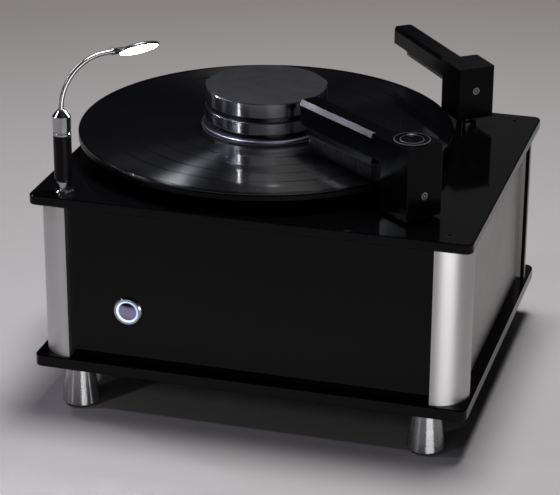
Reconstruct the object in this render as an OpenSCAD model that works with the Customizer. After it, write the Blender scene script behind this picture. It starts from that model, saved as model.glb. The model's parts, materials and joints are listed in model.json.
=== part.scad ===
// A record cleaning machine: a low square cabinet with a turntable on its deck,
// a scrubbing arm that also gives the washing fluid, and a suction arm that dries the record.
// Millimetres, +Z up. The origin is the middle of the whole machine's outline, on the table.

/* [Cabinet] */
// Width of the two plates, left to right
plate_w = 346; // [330:1:370]
// Depth of the two plates, front to back
plate_d = 286; // [280:1:310]
// Corner radius of the two plates
plate_corner_r = 6; // [3:0.5:10]
// Broken edge of the two plates
plate_edge = 0.8; // [0.3:0.1:1.2]
// Thickness of the bottom plate
base_t = 10; // [8:0.5:14]
// Thickness of the deck, which is the upper plate
deck_t = 8; // [6:0.5:12]
// Clear height between the two plates
body_h = 127; // [120:1:140]
// Radius of the quarter-round corner posts
post_r = 26; // [24:0.5:30]
// Set-back of the posts from the edge of the plates
post_inset = 2.8; // [1:0.1:6]
// Set-back of the panels from the outside of the posts
panel_recess = 7; // [5:0.5:8]
// Thickness of the panels
panel_t = 5; // [4:0.5:6]
// Depth of the panel grooves in the posts
groove_depth = 5; // [3:0.5:5.5]

/* [Feet and screws] */
// Height of the cabinet's underside above the table
foot_h = 33; // [28:1:40]
// Radius of a foot at its lower end
foot_r_low = 14.8; // [12:0.1:18]
// Radius of a foot at its upper end
foot_r_high = 11; // [8:0.1:13]
// Distance of the feet from the side edges of the plates
foot_edge_x = 33; // [25:1:45]
// Distance of the feet from the front and rear edges of the plates
foot_edge_y = 15; // [15:1:30]
// Height of rubber that shows under a foot
pad_h = 2.2; // [1:0.1:4]
// Distance of the plate screws from the side edges
screw_edge_x = 20; // [17:0.5:22]
// Distance of the plate screws from the front and rear edges
screw_edge_y = 15.5; // [13:0.5:18]
// Radius of the plate screws
screw_r = 2.5; // [2:0.1:2.8]
// Radius of the countersunk screw heads
screw_head_r = 5; // [4:0.1:6]
// Length of the plate screws
screw_len = 24; // [18:1:40]

/* [Record and platter] */
// Radius of the record
record_r = 150.8; // [150.8:0.1:151]
// Thickness of the record at its label and rim
record_t = 1.9; // [1.4:0.1:2.2]
// Record centre, right of the cabinet's middle
record_x = -29; // [-32:1:-26]
// Record centre, behind the cabinet's middle
record_y = 14; // [12:1:16]
// Height of the record's top above the deck
record_h = 17.5; // [17:0.1:22]
// Radius of the hole in the record
hole_r = 3.65; // [3.6:0.01:3.7]
// Thickness of the platter
platter_t = 4.4; // [3:0.1:6]
// Radius of the hub under the platter
hub_r = 52; // [40:1:80]
// Radius of the platter's spindle under the deck
axle_r = 6; // [5:0.5:8]
// Radius of the platter's pulley
big_pulley_r = 45; // [40:1:50]
// Radius of the motor's pulley
small_pulley_r = 9; // [8:0.5:12]
// Clearance between the motor's pulley and the suction hose behind it
pulley_room = 4.2; // [2:0.1:8]

/* [Record clamp] */
// Radius of the clamp's two metal discs
clamp_r = 49; // [46:0.5:52]
// Height of the clamp above the record
clamp_h = 34; // [32:0.5:38]
// Height of the upper disc
clamp_cap_h = 12; // [9:0.5:14]
// Height of the groove between the discs
clamp_groove_h = 4; // [2:0.5:6]
// Height of the lower disc
clamp_disc_h = 10; // [7:0.5:11]
// Radius of the flange that holds the seal
clamp_flange_r = 51.5; // [50:0.5:54]
// Thickness of that flange
clamp_flange_t = 2.6; // [2:0.1:3]
// Thickness of the rubber seal
seal_t = 1.4; // [1:0.1:2]

/* [Brush arm] */
// Distance of the brush column's axis from the record's centre
brush_away = 182.97; // [182:0.01:184]
// Distance of the brush column's axis from the front edge of the deck
brush_edge_y = 45.4; // [43:0.1:48]
// Direction in which the brush arm points
brush_dir = 142; // [141:0.5:143]
// Side of the brush column
brush_side = 33; // [31:0.5:34]
// Height of the brush column's top above the deck
brush_top = 59.5; // [58:0.5:64]
// Gap between the brush column and the deck
brush_gap = 2.6; // [2.3:0.1:4]
// Reach of the brush arm from the column's axis
brush_reach = 119; // [112:1:120]
// Height of the brush arm
brush_arm_t = 18.5; // [16:0.5:20]
// Broken upper edge of the brush arm
brush_edge = 3.5; // [2:0.5:5]
// How far the brush arm lifts
brush_lift = 8; // [6:0.5:10]
// Swing of the brush arm, outward to the front
brush_swing = 85; // [70:1:90]
// Length of the bristles that shows
bristle_len = 12.4; // [11:0.1:13]
// Bristles along the brush
bristle_columns = 48; // [30:1:60]
// Rows of bristles across the brush
bristle_rows = 8; // [6:1:8]

/* [Suction arm] */
// Distance of the suction column's axis from the record's centre
suction_away = 173.93; // [173.9:0.01:176]
// Distance of the suction column's axis from the rear edge of the deck
suction_edge_y = 32.2; // [31:0.1:33]
// Direction in which the parked suction arm points
suction_dir = 128.5; // [120:0.5:135]
// Side of the suction column
suction_side = 32; // [30:0.5:33]
// Height of the parked suction column's top above the deck
suction_top = 53; // [52:0.5:58]
// Gap between the parked suction column and the deck
suction_gap = 9.5; // [9.5:0.1:12]
// Reach of the suction arm from the column's axis
suction_reach = 111; // [104:1:114]
// Height of the suction arm
suction_arm_t = 11; // [10:0.5:13]
// Broken upper edge of the suction arm
suction_edge = 2.75; // [1.5:0.25:4]
// How far the suction arm drops
suction_drop = 9.2; // [9:0.1:9.2]
// Swing of the suction arm, inward to the record's centre
suction_swing = 85.7; // [80:0.1:90]

/* [Arm shafts] */
// Radius of both arm shafts
shaft_r = 5; // [4:0.5:5.5]
// Radial play of a sliding or turning fit
play = 0.05; // [0.02:0.01:0.1]
// Width of both arms
arm_w = 16.5; // [15:0.5:17]
// Distance of the stop pins from their shafts
stop_pin_at = 12; // [11.5:0.1:12.2]
// Radius of the stop pins
stop_pin_r = 1.5; // [1:0.1:1.6]

/* [Power button] */
// Power button, right of the cabinet's middle
power_x = -97; // [-110:1:-80]
// Height of the power button above the bottom plate
power_h = 43; // [30:1:80]
// Outer radius of the button's bezel
power_r = 11.5; // [10.5:0.1:14]
// Travel of the power button
power_travel = 1.5; // [0.8:0.1:2.5]
// Radius of the pump button on the brush column
pump_r = 9.4; // [8:0.1:10]
// Outer radius of the pump button's bezel
pump_bezel_r = 14; // [12:0.5:15]
// Travel of the pump button
pump_travel = 1.5; // [0.8:0.1:2]

/* [Lamp] */
// Distance of the lamp from the left edge of the deck
lamp_edge_x = 24.1; // [18:0.1:30]
// Distance of the lamp from the front edge of the deck
lamp_edge_y = 16; // [14:0.1:25]
// Direction in which the lamp's neck leans
lamp_dir = 49; // [0:1:90]
// Radius of the lamp's handle
lamp_r = 7; // [5:0.5:8]
// Height of the lamp's handle above the deck
lamp_handle_top = 46.2; // [40:0.1:60]
// Height of the top of the lamp's metal sleeve
lamp_sleeve_top = 65.9; // [60:0.1:80]
// Radius of the bend in the lamp's neck
neck_bend = 38; // [30:1:50]
// Radius of the lamp's neck
neck_r = 1.9; // [1.5:0.1:2.5]
// Length of the lamp's head
head_l = 35; // [28:1:45]
// Width of the lamp's head
head_w = 22; // [16:1:28]
// Tilt of the lamp's head about its own length
head_roll = 36; // [0:1:60]

/* [Inside] */
// Radius of the suction hose
hose_r = 7; // [6:0.5:8]
// Wall of the suction hose
hose_wall = 1.8; // [1:0.1:2.5]
// Radius of the blower's fan wheel
fan_r = 34; // [28:1:34]
// Height of the blower's fan wheel
fan_h = 20; // [14:1:24]
// Number of blades on the fan wheel
fan_blades = 12; // [8:1:16]
// Wall of the tanks
tank_wall = 2; // [1.5:0.1:4]
// Radius of the drain spout behind the cabinet
spout_r = 5; // [4:0.5:6]
// Width of the slots in the rear panel
vent_w = 2.6; // [2:0.1:3.5]

/* [Hidden] */
$fn = 48;

// Clearance of parts that are fixed to each other
fit = 0.1;
// Small step that lets a cut run past a surface
eps = 0.5;
// Heights of the plates' faces
base_z = foot_h;
floor_z = base_z + base_t;
roof_z = floor_z + body_h;
deck_z = roof_z + deck_t;
// Centres of the posts' rounding
post_x = plate_w / 2 - post_inset - post_r;
post_y = plate_d / 2 - post_inset - post_r;
// Outer faces of the panels
panel_x = plate_w / 2 - post_inset - panel_recess;
panel_y = plate_d / 2 - post_inset - panel_recess;
panel_gap = 0.2;
screw_x = plate_w / 2 - screw_edge_x;
screw_y = plate_d / 2 - screw_edge_y;
foot_x = plate_w / 2 - foot_edge_x;
foot_y = plate_d / 2 - foot_edge_y;
lamp_x = -plate_w / 2 + lamp_edge_x;
lamp_y = -plate_d / 2 + lamp_edge_y;
record_z = deck_z + record_h - record_t;
platter_z = record_z - platter_t;
// Each column keeps its distance from the record's centre and from one edge of the deck
brush_y = brush_edge_y - plate_d / 2;
brush_x = record_x + sqrt(pow(brush_away, 2) - pow(record_y - brush_y, 2));
suction_y = plate_d / 2 - suction_edge_y;
suction_x = record_x + sqrt(pow(suction_away, 2) - pow(suction_y - record_y, 2));
// The motor stands behind the platter's axis, just clear of the suction hose
pulley_lip = 1.6;
pulley_distance = suction_y - record_y - hose_r - small_pulley_r - pulley_lip - pulley_room;
// The parked suction arm reaches furthest back, with its round tip
tip_r = 3;
suction_tip_y = suction_y + (suction_reach - tip_r) * sin(suction_dir)
    + (suction_side / 2 - arm_w + tip_r) * cos(suction_dir) + tip_r;
// Shift that puts the origin in the middle of the whole outline
frame_x = (record_r - record_x - plate_w / 2) / 2;
frame_y = (plate_d / 2 - suction_tip_y) / 2;

module in_frame() {
    translate([frame_x, frame_y, 0]) children();
}

module at_corners(x, y) {
    for (sx = [-1, 1], sy = [-1, 1]) translate([sx * x, sy * y, 0]) children();
}

// A disc whose two rims are broken by the given amount
module broken_disc(r, h, edge) {
    rotate_extrude() polygon([[0, 0], [r - edge, 0], [r, edge], [r, h - edge], [r - edge, h], [0, h]]);
}

module edge_section(half, t, edge) {
    polygon([[-half, edge], [edge - half, 0], [half - edge, 0], [half, edge],
        [half, t - edge], [half - edge, t], [edge - half, t], [-half, t - edge]]);
}

// A plate with round corners and broken edges
module plate(w, d, t, r, edge) {
    rotate([90, 0, 90]) linear_extrude(w - 2 * r, center = true) edge_section(d / 2, t, edge);
    rotate([90, 0, 0]) linear_extrude(d - 2 * r, center = true) edge_section(w / 2, t, edge);
    at_corners(w / 2 - r, d / 2 - r) broken_disc(r, t, edge);
}

/* Cabinet */

// A countersunk screw whose head's top is at the origin; grow widens it into its hole
module countersunk(len, grow) {
    rotate_extrude() polygon([[0, grow], [screw_head_r + grow, grow], [screw_head_r + grow, -0.8],
        [screw_r + grow, screw_r - screw_head_r - 0.8], [screw_r + grow, -len - grow], [0, -len - grow]]);
}

module screw() {
    difference() {
        countersunk(screw_len, 0);
        translate([0, 0, -2]) cylinder(r = 1.8, h = 2 + eps, $fn = 6);
    }
}

module deck_screws(x, y) {
    for (s = [[-1, 1], [1, 1], [1, -1]]) translate([s[0] * x, s[1] * y, deck_z]) children();
}

module plate_screws() {
    color("#3a3a3c") in_frame() {
        deck_screws(screw_x, screw_y) screw();
        at_corners(screw_x, screw_y) translate([0, 0, base_z]) rotate([180, 0, 0]) screw();
    }
}

module bottom_plate() {
    color("#0c0c0e") in_frame() difference() {
        translate([0, 0, base_z]) plate(plate_w, plate_d, base_t, plate_corner_r, plate_edge);
        at_corners(screw_x, screw_y) translate([0, 0, base_z]) rotate([180, 0, 0])
            countersunk(screw_len, fit);
        at_corners(foot_x, foot_y) translate([0, 0, base_z - eps])
            cylinder(r = stud_r + fit, h = stud_h + eps);
    }
}

module deck() {
    color("#0c0c0e") in_frame() difference() {
        translate([0, 0, roof_z]) plate(plate_w, plate_d, deck_t, plate_corner_r, plate_edge);
        deck_screws(screw_x, screw_y) countersunk(screw_len, fit);
        translate([record_x, record_y, roof_z - eps]) cylinder(r = bearing_r + fit, h = deck_t + 2 * eps);
        translate([brush_x, brush_y, roof_z - eps]) cylinder(r = bush_r + fit, h = deck_t + 2 * eps);
        translate([suction_x, suction_y, roof_z - eps]) cylinder(r = bush_r + fit, h = deck_t + 2 * eps);
        translate([lamp_x, lamp_y, roof_z - eps]) cylinder(r = socket_r + fit, h = deck_t + 2 * eps);
        at_stop_pins() translate([0, 0, deck_z - stop_pin_seat])
            cylinder(r = stop_pin_r + fit, h = stop_pin_seat + eps);
    }
}

// Section of a quarter-round corner post, with its panel grooves and a hollow core
module post_section() {
    outer = post_r - panel_recess + fit;
    difference() {
        intersection() {
            circle(post_r);
            square(post_r);
        }
        translate([-eps, outer - panel_t - 2 * fit]) square([groove_depth + eps, panel_t + 2 * fit]);
        translate([outer - panel_t - 2 * fit, -eps]) square([panel_t + 2 * fit, groove_depth + eps]);
        translate([core_at, core_at]) circle(core_r);
    }
}

module post(sx, sy) {
    color("#c9c9cb") in_frame() translate([sx * post_x, sy * post_y, floor_z])
        mirror([sx < 0 ? 1 : 0, 0, 0]) mirror([0, sy < 0 ? 1 : 0, 0]) difference() {
            linear_extrude(body_h) post_section();
            translate([screw_x - post_x, screw_y - post_y, -eps])
                cylinder(r = screw_r + fit, h = body_h + 2 * eps);
        }
}
core_at = 6.3;
core_r = 3;

module post_front_left() { post(-1, -1); }
module post_front_right() { post(1, -1); }
module post_rear_left() { post(-1, 1); }
module post_rear_right() { post(1, 1); }

// A panel of the front or rear, outer face towards -Y, between the grooves of two posts
module wide_panel() {
    half = post_x + groove_depth - fit;
    translate([-half, -panel_y, floor_z + panel_gap]) cube([2 * half, panel_t, body_h - 2 * panel_gap]);
}

module side_panel() {
    half = post_y + groove_depth - fit;
    color("#b9b9bb") in_frame()
        translate([panel_x - panel_t, -half, floor_z + panel_gap])
            cube([panel_t, 2 * half, body_h - 2 * panel_gap]);
}

module front_panel() {
    color("#0a0a0c") in_frame() difference() {
        wide_panel();
        at_power() translate([0, 0, -panel_t - eps])
            cylinder(r = power_sleeve_r + fit, h = panel_t + 2 * eps);
    }
}

module left_panel() { mirrored_in_frame() side_panel(); }
module right_panel() { side_panel(); }

// Mirrors left and right about the middle of the plates
module mirrored_in_frame() {
    translate([2 * frame_x, 0, 0]) mirror([1, 0, 0]) children();
}

vent_rows = 11;
vent_pitch = 6;
vent_h = 46;
vent_up = 12;
module rear_panel() {
    color("#17171a") in_frame() difference() {
        mirror([0, 1, 0]) wide_panel();
        translate([inlet_x - inlet_w / 2 - fit, panel_y - panel_t - eps, inlet_z - inlet_h / 2 - fit])
            cube([inlet_w + 2 * fit, panel_t + 2 * eps, inlet_h + 2 * fit]);
        at_spout() translate([0, 0, -2 * panel_t]) cylinder(r = spout_r + spout_step + fit, h = 3 * panel_t);
        for (i = [0 : vent_rows - 1])
            translate([blower_x + (i - 3) * vent_pitch, panel_y - panel_t - eps, floor_z + vent_up])
                cube([vent_w, panel_t + 2 * eps, vent_h]);
    }
}

/* Feet */

stud_r = 3;
stud_h = 7;
pad_seat = 1.3;
module feet() {
    color("#d8d8da") in_frame() at_corners(foot_x, foot_y) rotate_extrude() polygon([
        [0, pad_h + pad_seat], [pad_r + fit, pad_h + pad_seat], [pad_r + fit, pad_h],
        [foot_r_low - 0.6, pad_h], [foot_r_low, pad_h + 0.6], [foot_r_high, foot_h - 0.5],
        [foot_r_high - 0.5, foot_h], [stud_r, foot_h], [stud_r, foot_h + stud_h - fit],
        [0, foot_h + stud_h - fit]]);
}

pad_r = foot_r_low - 1.6;
module foot_pads() {
    color("#141414") in_frame() at_corners(foot_x, foot_y) broken_disc(pad_r, pad_h + pad_seat, 0.4);
}

/* Power button, built with +Z out of the front panel */

power_sleeve_r = power_r - 1.6;
power_ring_r = power_r - 2.6;
power_cap_r = power_r - 4;
power_stem_r = 3;
ring_depth = power_travel + 0.5;
module at_power() {
    in_power = [power_x, -panel_y, floor_z + power_h];
    translate(in_power) rotate([90, 0, 0]) children();
}

module power_bezel() {
    color("#cfcfd2") in_frame() at_power() rotate_extrude() polygon([
        [power_ring_r + fit, -panel_t - 4], [power_sleeve_r, -panel_t - 4], [power_sleeve_r, 0],
        [power_r, 0], [power_r, 1.2], [power_r - 1, 2.2], [power_ring_r + fit, 2.2]]);
}

module power_ring() {
    color("#dce8ff") in_frame() at_power() rotate_extrude() polygon([
        [power_cap_r + fit, -ring_depth], [power_ring_r, -ring_depth], [power_ring_r, 1.4],
        [power_ring_r - 0.5, 1.9], [power_cap_r + fit, 1.9]]);
}

// A domed cap on a stem that slides in the switch
module power_cap() {
    dome_r = 22;
    rise = dome_r - sqrt(dome_r * dome_r - power_cap_r * power_cap_r);
    color("#c4c8ce") in_frame() at_power() {
        rotate_extrude() difference() {
            union() {
                square([power_cap_r, 1.4]);
                intersection() {
                    translate([0, 1.4 + rise - dome_r]) circle(dome_r, $fn = 96);
                    square([power_cap_r, 1.4 + rise]);
                }
            }
            translate([-40, -1]) square([40, 40]);
        }
        translate([0, 0, -power_stem]) cylinder(r = power_stem_r, h = power_stem + 0.2);
    }
}
power_stem = 5;

// The switch sits behind the ring, with two solder tabs at its end
switch_l = 32;
switch_bore = 13;
switch_tab = [2.4, 0.8, 9];
switch_tab_at = 4;
module power_switch() {
    color("#202024") in_frame() at_power() {
        difference() {
            translate([0, 0, -ring_depth - switch_l]) cylinder(r = power_ring_r - fit, h = switch_l - fit);
            translate([0, 0, -ring_depth - switch_bore])
                cylinder(r = power_stem_r + play, h = switch_bore + eps);
        }
        for (x = [-switch_tab_at, switch_tab_at])
            translate([x, 0, 1 - ring_depth - switch_l - switch_tab[2] / 2]) cube(switch_tab, center = true);
    }
}

/* Lamp, built about its own axis with +X the way the neck leans */

module at_lamp() {
    translate([lamp_x, lamp_y, deck_z]) rotate([0, 0, lamp_dir]) children();
}

socket_r = 5.2;
plug_r = 3;
lamp_socket_top = 9.4;
module lamp_socket() {
    color("#d5d5d8") in_frame() at_lamp() rotate_extrude() polygon([
        [plug_r + play, -deck_t + 0.5], [socket_r, -deck_t + 0.5], [socket_r, 0], [socket_r + 3, 0],
        [socket_r + 3, 1.2], [socket_r + 2, 2.2], [socket_r + 0.4, 2.2], [socket_r + 0.4, 8.6],
        [socket_r - 0.4, lamp_socket_top], [plug_r + play, lamp_socket_top]]);
}

module lamp_handle() {
    color("#111113") in_frame() at_lamp() rotate_extrude() polygon([
        [0, -deck_t + 1], [plug_r, -deck_t + 1], [plug_r, lamp_socket_top + fit],
        [lamp_r - 1, lamp_socket_top + fit], [lamp_r, lamp_socket_top + 1.1],
        [lamp_r, lamp_handle_top - 0.8], [lamp_r - 0.8, lamp_handle_top],
        [0, lamp_handle_top]]);
}

neck_seat = 6;
module lamp_sleeve() {
    taper = lamp_handle_top + 0.76 * (lamp_sleeve_top - lamp_handle_top);
    color("#dadadd") in_frame() at_lamp() rotate_extrude() polygon([
        [0, lamp_handle_top], [lamp_r, lamp_handle_top], [lamp_r, lamp_handle_top + 1.4],
        [lamp_r - 0.5, lamp_handle_top + 1.9], [lamp_r - 0.5, lamp_handle_top + 2.9],
        [lamp_r, lamp_handle_top + 3.4], [lamp_r, taper], [lamp_r - 1, taper + 1.2],
        [neck_r + 1.6, lamp_sleeve_top - 0.6], [neck_r + 1, lamp_sleeve_top],
        [neck_r + fit, lamp_sleeve_top], [neck_r + fit, lamp_sleeve_top - neck_seat],
        [0, lamp_sleeve_top - neck_seat]]);
}

neck_run = 7;
neck_end = neck_bend + neck_run;
neck_z = lamp_sleeve_top + neck_bend;
module lamp_neck() {
    color("#d5d5d8") in_frame() at_lamp() {
        translate([0, 0, lamp_sleeve_top - neck_seat + fit]) cylinder(r = neck_r, h = neck_seat - fit);
        translate([neck_bend, 0, lamp_sleeve_top]) rotate([90, 0, 0])
            rotate([0, 0, 90]) rotate_extrude(angle = 90) translate([neck_bend, 0]) circle(neck_r);
        translate([neck_bend, 0, neck_z]) rotate([0, 90, 0]) cylinder(r = neck_r, h = neck_run);
    }
}

// The head hangs from the end of the neck and rolls about its own length
module at_head() {
    at_lamp() translate([neck_end, 0, neck_z]) rotate([-head_roll, 0, 0]) children();
}

module leaf(l, w, t) {
    linear_extrude(t) scale([l / 2, w / 2]) circle(1, $fn = 40);
}

head_stub = 6;
head_drop = 2.4;
head_mid = head_stub + head_l / 2 - 1;
module lamp_head() {
    color("#c8ccd2") in_frame() at_head() difference() {
        union() {
            hull() {
                translate([head_mid, 0, -head_drop]) leaf(head_l, head_w, 1.4);
                translate([head_mid, 0, -head_drop + 3]) leaf(head_l * 0.86, head_w * 0.74, 1);
                translate([head_mid, 0, -head_drop + 4.4]) leaf(head_l * 0.56, head_w * 0.4, 0.6);
            }
            hull() {
                translate([-1, 0, 0]) rotate([0, 90, 0]) cylinder(r = neck_r + 0.9, h = 2, $fn = 24);
                translate([head_stub + 3, 0, -0.2]) rotate([0, 90, 0])
                    cylinder(r = neck_r + 0.2, h = 2, $fn = 24);
            }
        }
        translate([-2, 0, 0]) rotate([0, 90, 0]) cylinder(r = neck_r + fit, h = 2, $fn = 32);
        translate([head_mid, 0, -head_drop - 1]) leaf(head_l - 3, head_w - 3, 2.2);
    }
}

module lamp_lens() {
    color("#ffffff") in_frame() at_head()
        translate([head_mid, 0, -head_drop - 0.1]) leaf(head_l - 3.4, head_w - 3.4, 1.2);
}

/* Platter and its drive */

module at_record() {
    translate([record_x, record_y, 0]) children();
}

bearing_r = 12;
bearing_flange_r = 24;
bearing_drop = 22;
module bearing_housing() {
    color("#8f8f93") in_frame() at_record() difference() {
        union() {
            translate([0, 0, roof_z - bearing_drop]) cylinder(r = bearing_r, h = bearing_drop + deck_t + 1.6);
            translate([0, 0, deck_z]) cylinder(r = bearing_flange_r, h = 1.6);
            translate([0, 0, roof_z - 5]) cylinder(r = bearing_r + 6, h = 5);
        }
        translate([0, 0, roof_z - bearing_drop - eps])
            cylinder(r = axle_r + play, h = bearing_drop + deck_t + 3);
    }
}

module platter() {
    color("#101012") in_frame() at_record() difference() {
        translate([0, 0, platter_z]) broken_disc(record_r, platter_t, 0.4);
        translate([0, 0, platter_z - eps]) cylinder(r = hole_r + fit, h = platter_t + 2 * eps);
    }
}

hub_gap = 2;
module platter_hub() {
    color("#18181a") in_frame() at_record() difference() {
        rotate_extrude() polygon([
            [0, deck_z + hub_gap], [hub_r - 10, deck_z + hub_gap], [hub_r - 8, deck_z + hub_gap + 2],
            [hub_r - 8, platter_z - 3], [hub_r, platter_z - 2.4], [hub_r, platter_z], [0, platter_z]]);
        translate([0, 0, deck_z]) cylinder(r = axle_r + fit, h = record_h);
    }
}

pin_top = 12;
pulley_z = roof_z - bearing_drop - 16;
pulley_h = 10;
module spindle() {
    color("#c2c2c6") in_frame() at_record() rotate_extrude() polygon([
        [0, pulley_z - 3], [axle_r - 0.5, pulley_z - 3], [axle_r, pulley_z - 2.5], [axle_r, platter_z],
        [hole_r - play, platter_z], [hole_r - play, deck_z + record_h + pin_top - 3],
        [hole_r - 1.5, deck_z + record_h + pin_top], [0, deck_z + record_h + pin_top]]);
}

// Section of a belt pulley with a low flange at each rim
module pulley_section(r, bore_r) {
    rim = r + pulley_lip;
    polygon([[bore_r, 0], [rim, 0], [rim, 0.8], [r, 2], [r + 0.3, pulley_h / 2], [r, pulley_h - 2],
        [rim, pulley_h - 0.8], [rim, pulley_h], [bore_r, pulley_h]]);
}

module platter_pulley() {
    color("#2a2a2e") in_frame() at_record() translate([0, 0, pulley_z]) {
        difference() {
            rotate_extrude() pulley_section(big_pulley_r, axle_r + fit);
            for (a = [0 : 60 : 300]) rotate([0, 0, a]) translate([big_pulley_r * 0.56, 0, -eps])
                cylinder(r = 8, h = pulley_h + 2 * eps);
        }
    }
}

module at_motor() {
    at_record() translate([0, pulley_distance, 0]) children();
}

motor_r = 21;
motor_h = 56;
motor_ear = 7;
module drive_motor() {
    color("#77787c") in_frame() at_motor() translate([0, 0, floor_z]) difference() {
        union() {
            cylinder(r = motor_r, h = motor_h);
            translate([-motor_r - motor_ear, -8, 0]) cube([2 * (motor_r + motor_ear), 16, 3]);
            cylinder(r = 7, h = motor_h + 3);
        }
        translate([0, 0, motor_h - 12]) cylinder(r = motor_shaft_r + play, h = 20);
        for (x = [-1, 1]) translate([x * (motor_r + motor_ear / 2), 0, -eps]) cylinder(r = 1.7, h = 4);
    }
}

motor_shaft_r = 3;
module motor_pulley() {
    color("#b08d4a") in_frame() at_motor() {
        translate([0, 0, pulley_z]) rotate_extrude() pulley_section(small_pulley_r, 0);
        translate([0, 0, floor_z + motor_h - 11])
            cylinder(r = motor_shaft_r, h = pulley_z - floor_z - motor_h + 12);
    }
}

// Points round both pulleys at the given distance outside their rims
belt_wrap = acos((big_pulley_r - small_pulley_r) / pulley_distance);
belt_steps = 36;
function belt_arc(r, y, from, to) = [for (i = [0 : belt_steps])
    let (a = from + (to - from) * i / belt_steps) [r * sin(a), y + r * cos(a)]];
function belt_points(grow) = concat(
    belt_arc(big_pulley_r + grow, 0, belt_wrap, 360 - belt_wrap),
    belt_arc(small_pulley_r + grow, pulley_distance, -belt_wrap, belt_wrap));

belt_gap = 0.5;
module drive_belt() {
    color("#1b1b1b") in_frame() at_record() translate([0, 0, pulley_z + 2.6]) linear_extrude(pulley_h - 5.2)
        difference() {
            polygon(belt_points(belt_gap + 1));
            polygon(belt_points(belt_gap));
        }
}

/* Record and its clamp */

module record() {
    groove = 0.25;
    top = record_z + record_t;
    color("#0b0b0d") in_frame() at_record() rotate_extrude() polygon([
        [hole_r, record_z], [record_r - 0.7, record_z], [record_r, record_z + 0.7],
        [record_r, top - 0.7], [record_r - 0.7, top], [record_r - 3.4, top], [record_r - 4.2, top - groove],
        [58, top - groove], [55, top], [hole_r, top]]);
}

clamp_z = deck_z + record_h + 0.02;
clamp_recess_h = clamp_h - clamp_cap_h - clamp_groove_h - clamp_disc_h - clamp_flange_t - seal_t;
disc_z = clamp_z + seal_t + clamp_flange_t + clamp_recess_h;
cap_z = disc_z + clamp_disc_h + clamp_groove_h;
core_r_low = clamp_r - 7;
core_r_high = clamp_r - 2.5;

module clamp_seal() {
    color("#0e0e0e") in_frame() at_record() translate([0, 0, clamp_z]) difference() {
        broken_disc(clamp_flange_r + 0.6, seal_t, 0.4);
        translate([0, 0, -eps]) cylinder(r = clamp_flange_r - 9, h = seal_t + 2 * eps);
    }
}

module clamp_flange() {
    color("#cfcfd3") in_frame() at_record() translate([0, 0, clamp_z + seal_t]) difference() {
        broken_disc(clamp_flange_r, clamp_flange_t, 0.6);
        translate([0, 0, -eps]) cylinder(r = hole_r + fit, h = clamp_flange_t + 2 * eps);
    }
}

// The black body that carries the discs and slides over the spindle
module clamp_core() {
    color("#101012") in_frame() at_record() difference() {
        union() {
            translate([0, 0, disc_z - clamp_recess_h]) cylinder(r = core_r_low, h = clamp_recess_h);
            translate([0, 0, disc_z]) cylinder(r = 20, h = clamp_disc_h);
            translate([0, 0, cap_z - clamp_groove_h]) cylinder(r = core_r_high, h = clamp_groove_h);
        }
        translate([0, 0, clamp_z]) cylinder(r = hole_r, h = clamp_h - clamp_cap_h - 2);
    }
}

module clamp_disc() {
    color("#77777b") in_frame() at_record() translate([0, 0, disc_z]) difference() {
        broken_disc(clamp_r, clamp_disc_h, 0.7);
        translate([0, 0, -eps]) cylinder(r = 20 + fit, h = clamp_disc_h + 2 * eps);
    }
}

module clamp_cap() {
    color("#808084") in_frame() at_record() translate([0, 0, cap_z]) broken_disc(clamp_r, clamp_cap_h, 0.7);
}

/* Arms, built about their column's axis with +X along the arm and +Y out of the front face */

module at_brush() {
    translate([brush_x, brush_y, deck_z]) rotate([0, 0, brush_dir]) children();
}

module at_suction() {
    translate([suction_x, suction_y, deck_z]) rotate([0, 0, suction_dir]) children();
}

// Angle of the stop pins from the parked arm
stop_pin_angle = 135;
stop_pin_seat = 5;
stop_pin_play = 0.3;
module at_stop_pins() {
    for (arm = [[brush_x, brush_y, brush_dir], [suction_x, suction_y, suction_dir]])
        translate([arm[0], arm[1], 0]) rotate([0, 0, arm[2] + stop_pin_angle])
            translate([stop_pin_at, 0, 0]) children();
}

stop_pin_bite = 3;
module stop_pins() {
    color("#d8d8da") in_frame() {
        at_brush() stop_pin(brush_gap + stop_pin_bite);
        at_suction() stop_pin(suction_gap + stop_pin_bite);
    }
}

module stop_pin(h) {
    rotate([0, 0, stop_pin_angle]) translate([stop_pin_at, 0, -stop_pin_seat + fit])
        broken_disc(stop_pin_r, h + stop_pin_seat - fit, 0.3);
}

// Curved slot under a column, in which its stop pin runs; both ends leave the pin its side play
module stop_slot(swing, depth) {
    half = stop_pin_r + stop_pin_play;
    spare = asin(half / stop_pin_at);
    rotate([0, 0, stop_pin_angle - swing - spare]) rotate_extrude(angle = swing + 2 * spare)
        translate([stop_pin_at - half, 0]) square([2 * half, depth]);
}

// A column of square section with an arm flush with its top and front face
module arm_body(side, bottom, top, reach, arm_t) {
    half = side / 2;
    translate([0, 0, bottom]) linear_extrude(top - bottom) square_section(half, 1.2);
    translate([0, 0, top - arm_t]) linear_extrude(arm_t) arm_outline(half, reach);
}

// A square with rounded corners, made of exact pieces
module square_section(half, r) {
    square([2 * half, 2 * half - 2 * r], center = true);
    square([2 * half - 2 * r, 2 * half], center = true);
    for (sx = [-1, 1], sy = [-1, 1]) translate([sx * (half - r), sy * (half - r)]) circle(r);
}

// Plan of an arm with a rounded tip
module arm_outline(half, reach) {
    low = half - arm_w;
    translate([0, low]) square([reach - tip_r, arm_w]);
    translate([0, low + tip_r]) square([reach, arm_w - 2 * tip_r]);
    translate([reach - tip_r, low + tip_r]) circle(tip_r);
    translate([reach - tip_r, half - tip_r]) circle(tip_r);
}

// Wedge that breaks the arm's upper front edge
module edge_wedge(half, top, edge, from, to) {
    translate([from, half, top]) rotate([90, 0, 90]) linear_extrude(to - from)
        polygon([[eps, eps], [-edge - eps, eps], [-edge, 0], [0, -edge], [eps, -edge - eps]]);
}

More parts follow.
